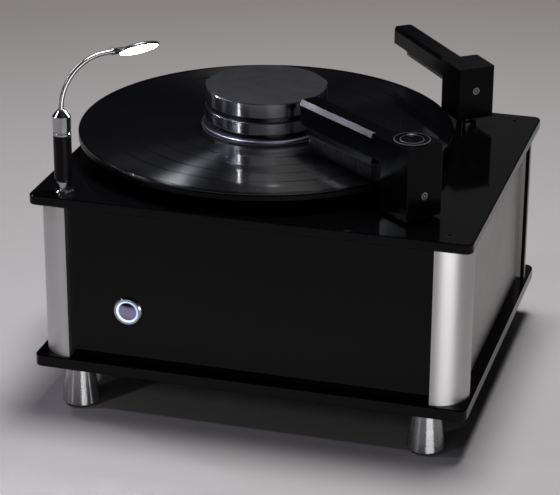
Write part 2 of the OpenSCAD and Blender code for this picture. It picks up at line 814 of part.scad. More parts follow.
brush_half = brush_side / 2;
suction_half = suction_side / 2;
brush_edge_start = brush_half + 10.5;
suction_edge_start = suction_half + 2;
// Height of the clamping screws above the deck, and their thread
brush_screw_z = 20;
suction_screw_z = 33;
set_screw_r = 3;
set_tip_r = 1.1;
set_socket_r = 2;
slot_floor = 1.3;
shaft_top_brush = 46;
shaft_top_suction = suction_top - suction_drop - 5;
bezel_t = 3;
button_pocket = pump_travel + 4.5;

module set_screw_hole(half, z) {
    translate([-half - eps, 0, z]) rotate([0, 90, 0]) cylinder(r = set_screw_r + fit, h = half + eps - 3);
}

module set_screw(half, z) {
    translate([-half + 0.2, 0, z]) rotate([0, 90, 0]) {
        difference() {
            cylinder(r = set_screw_r, h = half - 0.2 - shaft_r - 0.4);
            translate([0, 0, -eps]) cylinder(r = set_socket_r, h = 2 + eps, $fn = 6);
        }
        cylinder(r = set_tip_r, h = half - 0.2 - shaft_r + slot_floor - 0.2);
    }
}

holder_from = 35;
holder_front = 6;
holder_w = 8;
cap_screw_at = 74;
cap_screw_up = 2.2;
cap_screw_r = 1;
module brush_arm() {
    color("#161618") in_frame() at_brush() difference() {
        arm_body(brush_side, brush_gap, brush_top, brush_reach, brush_arm_t);
        edge_wedge(brush_half, brush_top, brush_edge, brush_edge_start, brush_reach + eps);
        cylinder(r = shaft_r + play, h = shaft_top_brush + 2);
        cylinder(r = collar_r + 0.4, h = brush_gap + collar_room);
        translate([0, 0, brush_gap - eps]) stop_slot(brush_swing, stop_pin_bite + brush_gap + eps);
        set_screw_hole(brush_half, brush_screw_z);
        translate([0, 0, brush_top - bezel_t]) cylinder(r = pump_bezel_r - 1 + fit, h = bezel_t + eps);
        translate([0, 0, brush_top - bezel_t - button_pocket])
            cylinder(r = pump_r + 0.3, h = button_pocket + eps);
        translate([cap_screw_at, brush_half + eps, brush_top - brush_arm_t + cap_screw_up]) rotate([90, 0, 0])
            cylinder(r = cap_screw_r + fit, h = 4);
    }
}

holder_y = brush_half - holder_front - holder_w;
holder_top = brush_top - brush_arm_t;
holder_bottom = record_h + 0.3 + bristle_len;
holder_to = brush_reach - 2;
// The bar that carries the bristles, with a shoulder along its foot
module brush_holder() {
    color("#202022") in_frame() at_brush() {
        translate([holder_from, holder_y + 1, holder_bottom + slice_t])
            cube([holder_to - holder_from, holder_w - 2, holder_top - holder_bottom - slice_t]);
        translate([holder_from, holder_y, holder_bottom + slice_t])
            cube([holder_to - holder_from, holder_w, 3]);
    }
}

// Three-sided bristles that narrow to their tips, in staggered rows
slice_t = 1.2;
bristle_r = 0.42;
bristle_root = 0.5;
bristle_margin = 1;
function bristle_x(i, j) = holder_from + bristle_margin + (i + 0.25 + 0.5 * (j % 2))
    * (holder_to - holder_from - 2 * bristle_margin) / bristle_columns;
function bristle_y(j) = holder_y + bristle_margin
    + (j + 0.5) * (holder_w - 2 * bristle_margin) / bristle_rows;
bristle_roots = [for (i = [0 : bristle_columns - 1], j = [0 : bristle_rows - 1])
    [bristle_x(i, j), bristle_y(j)]];
bristle_points = [for (b = bristle_roots, end = [0, 1], k = [0 : 2])
    let (r = end == 0 ? bristle_r : bristle_r * 0.6, a = 120 * k + 30)
    [b[0] + r * cos(a), b[1] + r * sin(a),
        end == 0 ? holder_bottom + bristle_root : holder_bottom - bristle_len]];
bristle_faces = [for (i = [0 : len(bristle_roots) - 1]) let (p = 6 * i) each [
    [p, p + 2, p + 1], [p + 3, p + 4, p + 5],
    [p, p + 1, p + 4], [p, p + 4, p + 3],
    [p + 1, p + 2, p + 5], [p + 1, p + 5, p + 4],
    [p + 2, p, p + 3], [p + 2, p + 3, p + 5]]];

module brush_bristles() {
    color("#1d1d20") in_frame() at_brush() {
        translate([holder_from, holder_y, holder_bottom]) cube([holder_to - holder_from, holder_w, slice_t]);
        polyhedron(bristle_points, bristle_faces);
    }
}

// The guide screw that keys the arm to its shaft, and the small screw that holds the brush
module brush_screws() {
    color("#b9b9bd") in_frame() at_brush() {
        set_screw(brush_half, brush_screw_z);
        translate([cap_screw_at, brush_half - 0.3, brush_top - brush_arm_t + cap_screw_up]) rotate([90, 0, 0])
            difference() {
                cylinder(r = cap_screw_r, h = 3);
                translate([0, 0, -eps]) cylinder(r = cap_screw_r / 2, h = 1, $fn = 6);
            }
    }
}

module pump_bezel() {
    color("#1c1c1f") in_frame() at_brush() translate([0, 0, brush_top]) rotate_extrude() polygon([
        [pump_r + 0.25, -bezel_t], [pump_bezel_r - 1, -bezel_t], [pump_bezel_r - 1, 0], [pump_bezel_r, 0],
        [pump_bezel_r, 0.6], [pump_bezel_r - 0.5, 1], [pump_r + 1.2, 1], [pump_r + 0.25, 0.4]]);
}

// A dished button on a stem
module pump_button() {
    color("#121214") in_frame() at_brush() translate([0, 0, brush_top]) rotate_extrude() polygon([
        [0, -bezel_t], [pump_r, -bezel_t], [pump_r, 0.3], [pump_r - 0.5, 0.8],
        [pump_r - 1.4, 0.8], [pump_r - 2.2, 0.2], [0, 0]]);
}

// Shaft with a keyway for its guide screw and a collar under its bush
module arm_shaft(top, key_from, key_to) {
    difference() {
        union() {
            translate([0, 0, shaft_foot]) broken_disc(shaft_r, top - shaft_foot, 0.5);
            translate([0, 0, shaft_foot]) cylinder(r = shaft_r + 2.5, h = bush_foot - shaft_foot - 0.3);
        }
        translate([-shaft_r - eps, -set_tip_r - 0.15, key_from - set_tip_r - 0.2])
            cube([slot_floor + eps, 2 * set_tip_r + 0.3, key_to - key_from + 2 * set_tip_r + 0.4]);
        translate([0, 0, shaft_foot - eps]) cylinder(r = shaft_r - 2, h = top - shaft_foot - 6);
    }
}
bush_r = shaft_r + 2;
collar_r = shaft_r + 3.2;
collar_h = 4.4;
collar_room = 5;
bush_foot = -deck_t - 12;
shaft_foot = bush_foot - 9;

module brush_shaft() {
    color("#dcdcdf") in_frame() at_brush()
        arm_shaft(shaft_top_brush, brush_screw_z, brush_screw_z + brush_lift);
}

module suction_shaft() {
    color("#dcdcdf") in_frame() at_suction()
        arm_shaft(shaft_top_suction, suction_screw_z - suction_drop, suction_screw_z);
}

// A bush with a turned collar above the deck and a nut under it
module bush() {
    rotate_extrude() polygon([
        [shaft_r + play, bush_foot], [bush_r, bush_foot], [bush_r, -deck_t - 5], [bush_r + 3, -deck_t - 5],
        [bush_r + 3, -deck_t], [bush_r, -deck_t], [bush_r, 0], [collar_r, 0], [collar_r, 1.3],
        [collar_r - 0.7, 1.5], [collar_r - 0.7, 2.1], [collar_r, 2.3], [collar_r, 3.2],
        [shaft_r + 1, collar_h], [shaft_r + play, collar_h]]);
}

module brush_bush() {
    color("#c8c8cc") in_frame() at_brush() bush();
}

module suction_bush() {
    color("#c8c8cc") in_frame() at_suction() bush();
}

nozzle_from = 26;
nozzle_front = 10;
nozzle_w = arm_w - nozzle_front;
nozzle_y = suction_half - nozzle_front - nozzle_w;
nozzle_top = suction_top - suction_arm_t;
lips_bottom = record_h + 0.3 + suction_drop;
lip_h = 3;
nozzle_to = suction_reach - tip_r - 1;
slot_w = 2;
module suction_arm() {
    color("#19191b") in_frame() at_suction() difference() {
        arm_body(suction_side, suction_gap, suction_top, suction_reach, suction_arm_t);
        edge_wedge(suction_half, suction_top, suction_edge, suction_edge_start, suction_reach + eps);
        cylinder(r = shaft_r + play, h = suction_top - 3);
        cylinder(r = collar_r + 0.4, h = suction_gap + collar_room);
        translate([0, 0, suction_gap - eps]) stop_slot(suction_swing, stop_pin_bite + suction_drop + 1);
        set_screw_hole(suction_half, suction_screw_z);
    }
}

// A plate under the whole arm carries the nozzle, which narrows to its mouth and is slotted through
nozzle_plate_t = 3.2;
module suction_nozzle() {
    shoulder = nozzle_top - 4;
    plate_from = suction_half + 0.3;
    color("#1e1e21") in_frame() at_suction() difference() {
        translate([nozzle_from, 0, 0]) rotate([90, 0, 90]) linear_extrude(nozzle_to - nozzle_from) polygon([
            [nozzle_y, nozzle_top], [nozzle_y, shoulder], [nozzle_y + 1, lips_bottom + lip_h],
            [nozzle_y + nozzle_w - 1, lips_bottom + lip_h], [nozzle_y + nozzle_w, shoulder],
            [nozzle_y + nozzle_w, nozzle_top]]);
        translate([nozzle_from + 3, nozzle_y + nozzle_w / 2 - slot_w / 2, lips_bottom])
            cube([nozzle_to - nozzle_from - 6, slot_w, nozzle_top - lips_bottom - 3]);
    }
    color("#1e1e21") in_frame() at_suction() translate([0, 0, nozzle_top - nozzle_plate_t])
        linear_extrude(nozzle_plate_t) difference() {
            arm_outline(suction_half, suction_reach);
            translate([-eps, -suction_side]) square([plate_from + eps, 2 * suction_side]);
        }
}

// Two felt lips, one on each side of the slot
module suction_lips() {
    lip_w = (nozzle_w - 2 - slot_w) / 2;
    color("#26262a") in_frame() at_suction() for (y = [nozzle_y + 1, nozzle_y + nozzle_w - 1 - lip_w])
        translate([nozzle_from + 1, y, lips_bottom]) cube([nozzle_to - nozzle_from - 2, lip_w, lip_h]);
}

module suction_screw() {
    color("#b9b9bd") in_frame() at_suction() set_screw(suction_half, suction_screw_z);
}

/* Inside the cabinet */

// Heights of the two hoses, and the places of what they join
hose_low = 103;
elbow_r = 15;
tank_top = 112;
tank_gap = 0.2;
hose_high = tank_top + tank_gap + elbow_r;
// The waste tank fills the room from the left panel to the drive motor
motor_room = 4.2;
tank_left = -post_x + 1;
tank_back = panel_y - panel_t - 2;
tank_w = record_x - motor_r - motor_ear - motor_room - tank_left;
tank_d = 120;
tank_drop_x = tank_left + tank_w / 2;
// The blower stands off the right panel, level with the vacuum hose at the front of the tank
scroll_r = fan_r + 4;
scroll_step = 5;
blower_wall = 2;
blower_room = 14.2;
vacuum_inset = 16.8;
blower_x = panel_x - panel_t - blower_room - blower_wall - scroll_r - 4 * scroll_step;
blower_y = tank_back - tank_d + vacuum_inset;

pump_x = 26;
pump_body_r = 15;
pump_h = 48;
pump_neck = 6;
pump_outlet = floor_z + pump_h + pump_neck;
supply_tube_z = 12;

// Hose routes lie in one upright plane: each station is [x, z, direction across the hose]
bend_steps = 8;
function bend(x, z, from, to, radius, turn) = [for (i = [0 : bend_steps])
    let (a = from + (to - from) * i / bend_steps) [x + radius * cos(a), z + radius * sin(a), a + turn]];

shaft_mouth = deck_z + shaft_foot - 0.3;
// From the suction shaft down and across to the waste tank
suction_route = concat([[suction_x, shaft_mouth, 0]],
    bend(suction_x - elbow_r, hose_high + elbow_r, 0, -90, elbow_r, 0),
    bend(tank_drop_x + elbow_r, hose_high - elbow_r, 90, 180, elbow_r, -180));
// From the waste tank's side to the blower's mouth
vacuum_route = concat([[tank_left + tank_w + tank_gap, hose_low, 90]],
    bend(blower_x - elbow_r, hose_low - elbow_r, 90, 0, elbow_r, 0));
// From the pump's outlet up to the foot of the brush shaft
tube_r = 2.5;
tube_wall = 0.8;
tube_bend = 10;
tube_level = 121;
fluid_route = concat([[pump_x, pump_outlet, 180]],
    bend(pump_x + tube_bend, tube_level - tube_bend, 180, 90, tube_bend, 0),
    bend(brush_x - tube_bend, tube_level + tube_bend, 270, 360, tube_bend, -180),
    [[brush_x, shaft_mouth, 180]]);

// A hose with its bore, swept along a route; its rings alternate between outside and bore
hose_sides = 12;
module hose(route, r, wall) {
    n = hose_sides;
    last = 2 * n * (len(route) - 1);
    points = [for (s = route, radius = [r, r - wall], k = [0 : n - 1]) let (t = 360 * k / n)
        [s[0] + radius * cos(t) * cos(s[2]), radius * sin(t), s[1] + radius * cos(t) * sin(s[2])]];
    sides = [for (i = [0 : len(route) - 2], k = [0 : n - 1])
        let (p = 2 * n * i + k, q = 2 * n * i + (k + 1) % n) each [
        [p, q, q + 2 * n, p + 2 * n],
        [q + n, p + n, p + 3 * n, q + 3 * n]]];
    ends = [for (k = [0 : n - 1]) let (m = (k + 1) % n) each [
        [m, k, k + n, m + n],
        [last + k, last + m, last + m + n, last + k + n]]];
    polyhedron(points, concat(sides, ends));
}

module hoses() {
    color("#9aa0a8") in_frame() {
        translate([0, suction_y, 0]) hose(suction_route, hose_r, hose_wall);
        translate([0, blower_y, 0]) hose(vacuum_route, hose_r, hose_wall);
        translate([0, brush_y, 0]) hose(fluid_route, tube_r, tube_wall);
    }
}

// Outer shape of a moulded tank with round upright edges
module tank_shape(w, d, h, r) {
    linear_extrude(h) {
        translate([r, 0]) square([w - 2 * r, d]);
        translate([0, r]) square([w, d - 2 * r]);
        for (x = [r, w - r], y = [r, d - r]) translate([x, y]) circle(r);
    }
}

spout_step = 1;
spout_out = 7;
module at_spout() {
    translate([tank_drop_x, panel_y, floor_z + 12]) rotate([-90, 0, 0]) children();
}

module waste_tank() {
    h = tank_top - floor_z - tank_gap;
    color("#d9dde2") in_frame() difference() {
        union() {
            translate([tank_left, tank_back - tank_d, floor_z + tank_gap]) tank_shape(tank_w, tank_d, h, 8);
            at_spout() translate([0, 0, -panel_t - 4]) cylinder(r = spout_r + spout_step, h = panel_t + 4);
            at_spout() cylinder(r = spout_r, h = spout_out);
        }
        translate([tank_left + tank_wall, tank_back - tank_d + tank_wall, floor_z + tank_gap + tank_wall])
            tank_shape(tank_w - 2 * tank_wall, tank_d - 2 * tank_wall, h - 2 * tank_wall, 8 - tank_wall);
        translate([tank_drop_x, suction_y, tank_top - tank_wall - eps])
            cylinder(r = hose_r - hose_wall, h = tank_wall + 2 * eps);
        translate([tank_left + tank_w - tank_wall - eps, blower_y, hose_low]) rotate([0, 90, 0])
            cylinder(r = hose_r - hose_wall, h = tank_wall + 2 * eps);
        at_spout() translate([0, 0, -panel_t - 3 - tank_wall])
            cylinder(r = spout_r / 2, h = panel_t + spout_out + tank_wall + 4);
    }
}

// Scroll of a blower: four quarter arcs, each a step larger, and a straight outlet
outlet_len = 60;
module scroll(grow) {
    e = scroll_step;
    r = scroll_r + grow;
    arc_centres = [[0, 0], [0, -e], [e, -e], [e, 0]];
    for (k = [0 : 3]) translate(arc_centres[k]) rotate([0, 0, 90 * k]) intersection() {
        circle(r + k * e);
        square(r + k * e);
    }
    translate([0, -e]) square(e);
    translate([scroll_r - 4 - grow, -eps]) square([4 * e + 4 + 2 * grow, outlet_len + eps]);
}

fan_z = 4;
fan_post_r = 4;
module at_blower() {
    translate([blower_x, blower_y, floor_z]) children();
}

blower_h = hose_low - elbow_r - floor_z - tank_gap;
module blower_housing() {
    color("#3b3b40") in_frame() at_blower() {
        difference() {
            linear_extrude(blower_h) scroll(blower_wall);
            translate([0, 0, blower_wall]) linear_extrude(blower_h - 2 * blower_wall) scroll(0);
            translate([scroll_r - 4, outlet_len - 2 * blower_wall, blower_wall])
                cube([4 * scroll_step + 4, 3 * blower_wall, blower_h - 2 * blower_wall]);
            cylinder(r = hose_r - hose_wall, h = blower_h + eps);
        }
        cylinder(r = hose_r - hose_wall + fit, h = blower_wall);
        cylinder(r = fan_post_r, h = fan_z + fan_h - 2);
    }
}

// A fan wheel with backward-curved blades on a dished back plate
module fan_wheel() {
    hub = 9;
    dish_t = 1.6;
    blade_t = 1.4;
    blade_r = 24;
    color("#6c6f75") in_frame() at_blower() translate([0, 0, fan_z]) difference() {
        union() {
            rotate_extrude() polygon([[0, 0], [fan_r, 0], [fan_r, dish_t], [hub + 4, dish_t], [hub, 6],
                [hub - 2, fan_h - 4], [0, fan_h - 4]]);
            translate([0, 0, 1]) linear_extrude(fan_h - 1) for (k = [0 : fan_blades - 1])
                rotate([0, 0, 360 * k / fan_blades]) fan_blade(hub + 2, blade_r, blade_t);
        }
        translate([0, 0, -eps]) cylinder(r = fan_post_r + play, h = fan_h);
    }
}

module fan_blade(from, r, t) {
    intersection() {
        difference() {
            circle(fan_r - 0.4);
            circle(from);
        }
        translate([r * 0.72, -r * 0.94]) difference() {
            circle(r + t / 2);
            circle(r - t / 2);
        }
        translate([0, -2]) square(fan_r);
    }
}

module fluid_pump() {
    color("#4a4c52") in_frame() translate([pump_x, brush_y, floor_z + tank_gap]) difference() {
        union() {
            cylinder(r = pump_body_r, h = pump_h * 0.62);
            translate([0, 0, pump_h * 0.62]) cylinder(r = pump_body_r - 2, h = pump_h * 0.38);
            cylinder(r = tube_r - tube_wall - fit, h = pump_h + 2 * pump_neck);
            cylinder(r = tube_r + 1.5, h = pump_h + pump_neck - 2 * tank_gap);
            translate([0, 0, supply_tube_z]) rotate([0, 90, 0])
                cylinder(r = tube_r, h = fluid_left - pump_x - tank_gap);
        }
        translate([0, 0, pump_h]) cylinder(r = 0.8, h = 13);
    }
}

// The fluid tank stands beside the front right post, with a filler neck on top
fluid_w = 80;
fluid_d = 62;
fluid_h = 62;
fluid_room = 2.2;
fluid_left = post_x - fluid_room - fluid_w;
filler_r = 13;
filler_h = 7;
module fluid_tank() {
    front = -panel_y + panel_t + 3;
    t = tank_wall;
    color("#cfd8df") in_frame() translate([fluid_left, front, floor_z + tank_gap]) difference() {
        union() {
            tank_shape(fluid_w, fluid_d, fluid_h, 8);
            translate([fluid_w / 2, fluid_d / 2, fluid_h]) cylinder(r = filler_r, h = filler_h);
        }
        translate([t, t, t]) tank_shape(fluid_w - 2 * t, fluid_d - 2 * t, fluid_h - 2 * t, 8 - t);
        translate([fluid_w / 2, fluid_d / 2, fluid_h - t - eps])
            cylinder(r = filler_r - t, h = filler_h + t + 2 * eps);
    }
}

// A circuit board on four stand-offs, with a transformer, a finned cooler and two capacitors
board = [68, 62, 1.6];
board_room_x = 7.5;
board_room_y = 10.2;
stand_off = 5;
stand_off_in = 5;
transformer = [28, 26, 26];
transformer_at = [6, 28];
cooler = [22, 3, 24];
cooler_at = [40, 30];
cooler_fins = 6;
fin = [1.4, 12, 24];
capacitor_r = 7;
capacitor_h = 24;
module power_supply() {
    color("#2f5d3a") in_frame()
        translate([power_x + power_r + board_room_x, -panel_y + panel_t + board_room_y, floor_z]) {
            for (x = [stand_off_in, board[0] - stand_off_in], y = [stand_off_in, board[1] - stand_off_in])
                translate([x, y, 0]) cylinder(r = 2.5, h = stand_off);
            translate([0, 0, stand_off]) cube(board);
            translate([transformer_at[0], transformer_at[1], stand_off + 1]) cube(transformer);
            translate([cooler_at[0], cooler_at[1], stand_off + 1]) {
                cube(cooler);
                for (i = [0 : cooler_fins - 1])
                    translate([i * (cooler[0] - fin[0]) / (cooler_fins - 1), 0, 0]) cube(fin);
            }
            for (k = [1, 2]) translate([k * 2.4 * capacitor_r, 2 * capacitor_r, stand_off + 1])
                broken_disc(capacitor_r, capacitor_h, 1);
        }
}

/* Mains inlet in the rear panel */

// The inlet stands beside the vents, and its height above the cabinet's floor is up
inlet_from_blower = 52;
inlet_up = 26;
inlet_x = blower_x - inlet_from_blower;
inlet_z = floor_z + inlet_up;
inlet_w = 28;
inlet_h = 20;
inlet_depth = 22;
inlet_flange = [48, 29, 2.4];
inlet_cavity = [24.4, 16.4, 17];
inlet_pin = [2, 4, 11];
inlet_screw_at = 20;
module mains_inlet() {
    rim = inlet_flange[2];
    pin_z = rim - inlet_cavity[2] - eps;
    color("#18181a") in_frame() translate([inlet_x, panel_y, inlet_z]) rotate([-90, 0, 0]) {
        difference() {
            union() {
                translate([-inlet_flange[0] / 2, -inlet_flange[1] / 2, 0]) cube(inlet_flange);
                translate([-inlet_w / 2, -inlet_h / 2, rim - inlet_depth])
                    cube([inlet_w, inlet_h, inlet_depth]);
            }
            translate([-inlet_cavity[0] / 2, -inlet_cavity[1] / 2, rim - inlet_cavity[2]])
                cube(inlet_cavity + [0, 0, eps]);
            for (x = [-inlet_screw_at, inlet_screw_at]) translate([x, 0, -eps])
                cylinder(r = 1.7, h = rim + 2 * eps);
        }
        for (p = [[-7, 2], [0, -2], [7, 2]])
            translate([p[0] - inlet_pin[0] / 2, p[1] - inlet_pin[1] / 2, pin_z])
                cube(inlet_pin + [0, 0, eps]);
    }
}

bottom_plate();
deck();
post_front_left();
post_front_right();
post_rear_left();
post_rear_right();
front_panel();
rear_panel();
left_panel();
right_panel();
feet();
foot_pads();
plate_screws();
power_bezel();
power_ring();
power_cap();
power_switch();
lamp_socket();
lamp_handle();
lamp_sleeve();
lamp_neck();
lamp_head();
lamp_lens();
bearing_housing();
platter();
platter_hub();
spindle();
platter_pulley();
record();
clamp_cap();
clamp_core();
clamp_disc();
clamp_flange();
clamp_seal();
brush_arm();
brush_holder();
brush_bristles();
brush_screws();
pump_bezel();
pump_button();
brush_shaft();
brush_bush();
suction_arm();
suction_nozzle();
suction_lips();
suction_screw();
suction_shaft();
suction_bush();
stop_pins();
drive_motor();
motor_pulley();
drive_belt();
blower_housing();
fan_wheel();
waste_tank();
hoses();
fluid_tank();
fluid_pump();
power_supply();
mains_inlet();
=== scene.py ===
"""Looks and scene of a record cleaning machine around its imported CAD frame. Metres, +Z up."""
import json
import math
import random

import bmesh
import bpy
from mathutils import Matrix, Vector, noise


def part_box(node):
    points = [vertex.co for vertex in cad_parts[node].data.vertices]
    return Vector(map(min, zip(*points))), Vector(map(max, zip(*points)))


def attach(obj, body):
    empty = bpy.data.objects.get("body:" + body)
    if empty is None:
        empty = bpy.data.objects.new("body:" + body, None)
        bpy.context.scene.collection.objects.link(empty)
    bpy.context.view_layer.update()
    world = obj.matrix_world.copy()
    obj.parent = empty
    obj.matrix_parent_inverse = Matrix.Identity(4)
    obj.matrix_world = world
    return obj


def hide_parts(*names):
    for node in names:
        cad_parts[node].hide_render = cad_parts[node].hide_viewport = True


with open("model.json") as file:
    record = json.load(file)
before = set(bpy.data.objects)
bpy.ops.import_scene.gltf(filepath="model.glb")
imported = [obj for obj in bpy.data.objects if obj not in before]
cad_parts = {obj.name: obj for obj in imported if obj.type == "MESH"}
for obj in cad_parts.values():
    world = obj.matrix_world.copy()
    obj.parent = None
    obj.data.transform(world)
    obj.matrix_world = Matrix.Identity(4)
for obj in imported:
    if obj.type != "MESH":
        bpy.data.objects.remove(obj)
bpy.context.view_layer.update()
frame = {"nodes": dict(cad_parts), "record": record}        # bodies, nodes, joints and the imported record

MM = 0.001
NOISE_LOW, NOISE_HIGH = 0.3, 0.7     # most of a noise texture lies between these
QUARTER_TURN = 0.25                  # of the anisotropy, so that glints run across the tool marks
SOFT, SOFTER = 0.2 * MM, 0.3 * MM    # widths over which one tone turns into the next

# Places, taken from the frame


def middle(node):
    """Centre of a CAD node's box."""
    low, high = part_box(node)
    return (low + high) / 2


DECK_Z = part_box("deck")[1].z
RECORD_MIDDLE = middle("record")
POWER_MIDDLE = middle("power_cap")


def standing(node, turn):
    """Frame of an upright axis on the deck, with local +X turned to that many degrees."""
    at = middle(node)
    return Matrix.Translation((at.x, at.y, DECK_Z)) @ Matrix.Rotation(math.radians(turn), 4, "Z")


BRUSH_DIR = 142
SUCTION_DIR = 128.5
LAMP_DIR = 49
AT_BRUSH = standing("brush_bush", BRUSH_DIR)
AT_SUCTION = standing("suction_bush", SUCTION_DIR)
AT_LAMP = standing("lamp_socket", LAMP_DIR)

# Node materials


class Look:
    """A Principled material with short calls for its nodes. Sizes are in mm, places in metres."""

    def __init__(self, name, colour, rough, metal=0.0, **sockets):
        self.mat = bpy.data.materials.new(name)
        self.mat.use_nodes = True
        self.tree = self.mat.node_tree
        self.shader = self.tree.nodes["Principled BSDF"]
        self.shader.inputs["Base Color"].default_value = (*colour, 1)
        self.shader.inputs["Roughness"].default_value = rough
        self.shader.inputs["Metallic"].default_value = metal
        for socket, value in sockets.items():
            self.shader.inputs[socket.replace("_", " ")].default_value = value
        self.places = self.node("TexCoord").outputs["Object"]
        self.tone = colour

    def node(self, kind, **settings):
        """New shader node of that kind."""
        made = self.tree.nodes.new("ShaderNode" + kind)
        for name, value in settings.items():
            setattr(made, name, value)
        return made

    def put(self, value, socket):
        """Links an output to a socket, or sets the socket to a number or a colour."""
        if isinstance(value, bpy.types.NodeSocket):
            self.tree.links.new(value, socket)
        elif isinstance(value, (tuple, list)) and len(socket.default_value) == 4:
            socket.default_value = (*value, 1)
        else:
            socket.default_value = value

    def maths(self, operation, a, b=0.5):
        """Math node. ABSOLUTE and SINE don't use b."""
        made = self.node("Math", operation=operation)
        self.put(a, made.inputs[0])
        self.put(b, made.inputs[1])
        return made.outputs[0]

    def noise(self, size, stretch=(1, 1, 1), detail=3.0):
        """Noise whose blobs are about size mm, longer along an axis where stretch is above 1."""
        mapping = self.node("Mapping")
        self.put(self.places, mapping.inputs["Vector"])
        mapping.inputs["Scale"].default_value = [1 / s for s in stretch]
        made = self.node("TexNoise")
        made.inputs["Scale"].default_value = 1 / (size * MM)
        made.inputs["Detail"].default_value = detail
        self.tree.links.new(mapping.outputs[0], made.inputs["Vector"])
        return made.outputs["Fac"]

    def speckle(self, size):
        """Random value for each cell of size mm."""
        made = self.node("TexVoronoi")
        made.inputs["Scale"].default_value = 1 / (size * MM)
        self.put(self.places, made.inputs["Vector"])
        return made.outputs["Distance"]

    def radial_noise(self, away, per_metre, detail):
        """Noise that changes with the distance from an axis alone."""
        made = self.node("TexNoise", noise_dimensions="1D")
        self.put(away, made.inputs["W"])
        made.inputs["Scale"].default_value = per_metre
        made.inputs["Detail"].default_value = detail
        return made.outputs["Fac"]

    def span(self, value, low, high, to_low, to_high):
        """Maps a value from one range to another, and holds it there."""
        made = self.node("MapRange")
        for socket, number in zip(made.inputs[:5], (value, low, high, to_low, to_high)):
            self.put(number, socket)
        return made.outputs[0]

    def spread(self, noise_value, to_low, to_high):
        """Maps a noise to a range."""
        return self.span(noise_value, NOISE_LOW, NOISE_HIGH, to_low, to_high)

    def off(self, value, centre):
        """How far a value is from a number."""
        return self.maths("ABSOLUTE", self.maths("SUBTRACT", value, centre))

    def blend(self, share, first, second):
        """Colour between two others."""
        made = self.node("Mix", data_type="RGBA")
        self.put(share, made.inputs[0])
        self.put(first, made.inputs[6])
        self.put(second, made.inputs[7])
        return made.outputs[2]

    def away(self, centre):
        """Distance in metres from an upright axis through centre."""
        off = self.node("VectorMath", operation="SUBTRACT")
        self.put(self.places, off.inputs[0])
        off.inputs[1].default_value = (centre.x, centre.y, 0)
        flat = self.node("VectorMath", operation="MULTIPLY")
        self.put(off.outputs[0], flat.inputs[0])
        flat.inputs[1].default_value = (1, 1, 0)
        length = self.node("VectorMath", operation="LENGTH")
        self.put(flat.outputs[0], length.inputs[0])
        return length.outputs["Value"]

    def axis(self, index):
        """Place along X, Y or Z in metres."""
        split = self.node("SeparateXYZ")
        self.put(self.places, split.inputs[0])
        return split.outputs[index]

    def waves(self, along, pitch):
        """A sine from 0 to 1 along a length in metres, one wave each pitch mm."""
        turn = self.maths("MULTIPLY", along, 2 * math.pi / (pitch * MM))
        return self.span(self.maths("SINE", turn), -1, 1, 0, 1)

    def rough(self, value):
        """Sets the roughness."""
        self.put(value, self.shader.inputs["Roughness"])

    def colour(self, value):
        """Sets the base colour, and keeps it for a later blend."""
        self.tone = value
        self.put(value, self.shader.inputs["Base Color"])

    def bump(self, height, depth):
        """Relief of depth mm from a height between 0 and 1."""
        made = self.node("Bump")
        made.inputs["Distance"].default_value = depth * MM
        self.put(height, made.inputs["Height"])
        self.put(made.outputs[0], self.shader.inputs["Normal"])

    def turned(self, anisotropy):
        """Circular tool marks round the middle of the piece."""
        tangent = self.node("Tangent", direction_type="RADIAL", axis="Z")
        self.put(tangent.outputs[0], self.shader.inputs["Tangent"])
        self.shader.inputs["Anisotropic"].default_value = anisotropy
        self.shader.inputs["Anisotropic Rotation"].default_value = QUARTER_TURN
        return self


def shades(colour, darker, lighter):
    """A colour times two shares."""
    return [c * darker for c in colour], [min(1, c * lighter) for c in colour]


def acrylic(name, colour, rough):
    """Polished black sheet: faint sheet waviness, wiping haze and a little dust."""
    look = Look(name, colour, rough, Specular_IOR_Level=0.14)
    haze = look.noise(45, detail=4)
    dust = look.span(look.noise(0.9, detail=2), 0.62, 0.8, 0, 0.1)
    look.rough(look.maths("ADD", look.spread(haze, rough * 0.7, rough * 1.5), dust))
    look.bump(look.noise(70, detail=1), 0.03)
    return look


def brushed(name, colour, rough, stretch, depth=0.004, grain=0.5, tones=None):
    """Metal with a long straight grain, between a darker and a lighter tone."""
    look = Look(name, colour, rough, 1.0)
    lines = look.noise(grain, stretch, detail=5)
    blotch = look.noise(30, detail=2)
    dark, light = tones or shades(colour, 0.94, 1.04)
    look.colour(look.blend(look.spread(lines, 0, 1), dark, light))
    look.rough(look.maths("ADD", look.spread(lines, rough * 0.8, rough * 1.2),
                          look.spread(blotch, -0.03, 0.03)))
    look.bump(lines, depth)
    return look


def polished(name, colour, rough, smear=20, anisotropy=0.0):
    """Bright plated metal with faint smears, polished on a lathe where anisotropy is given."""
    look = Look(name, colour, rough, 1.0)
    smears = look.noise(smear, detail=4)
    look.rough(look.span(smears, 0.35, 0.7, rough * 0.8, rough * 1.3))
    look.bump(look.noise(6, detail=2), 0.002)
    return look.turned(anisotropy)


def moulded(name, colour, rough, grain=0.35, depth=0.02):
    """Moulded plastic with a fine spark-eroded grain."""
    look = Look(name, colour, rough, Specular_IOR_Level=0.12)
    cells = look.speckle(grain)
    cloud = look.noise(18, detail=3)
    look.colour(look.blend(cloud, *shades(colour, 0.85, 1.15)))
    look.rough(look.spread(cloud, rough * 0.85, min(1, rough * 1.15)))
    look.bump(cells, depth)
    return look


def anodised(name, colour, rough, metal=1.0):
    """Anodised metal: fine even tooth, slightly worn tone."""
    look = Look(name, colour, rough, metal, Specular_IOR_Level=0.1)
    cloud = look.noise(25, detail=4)
    look.colour(look.blend(cloud, *shades(colour, 0.8, 1.2)))
    look.rough(look.spread(cloud, rough * 0.85, rough * 1.2))
    look.bump(look.noise(0.25, detail=2), 0.006)
    return look


TOOL_PITCH = 0.45 * MM


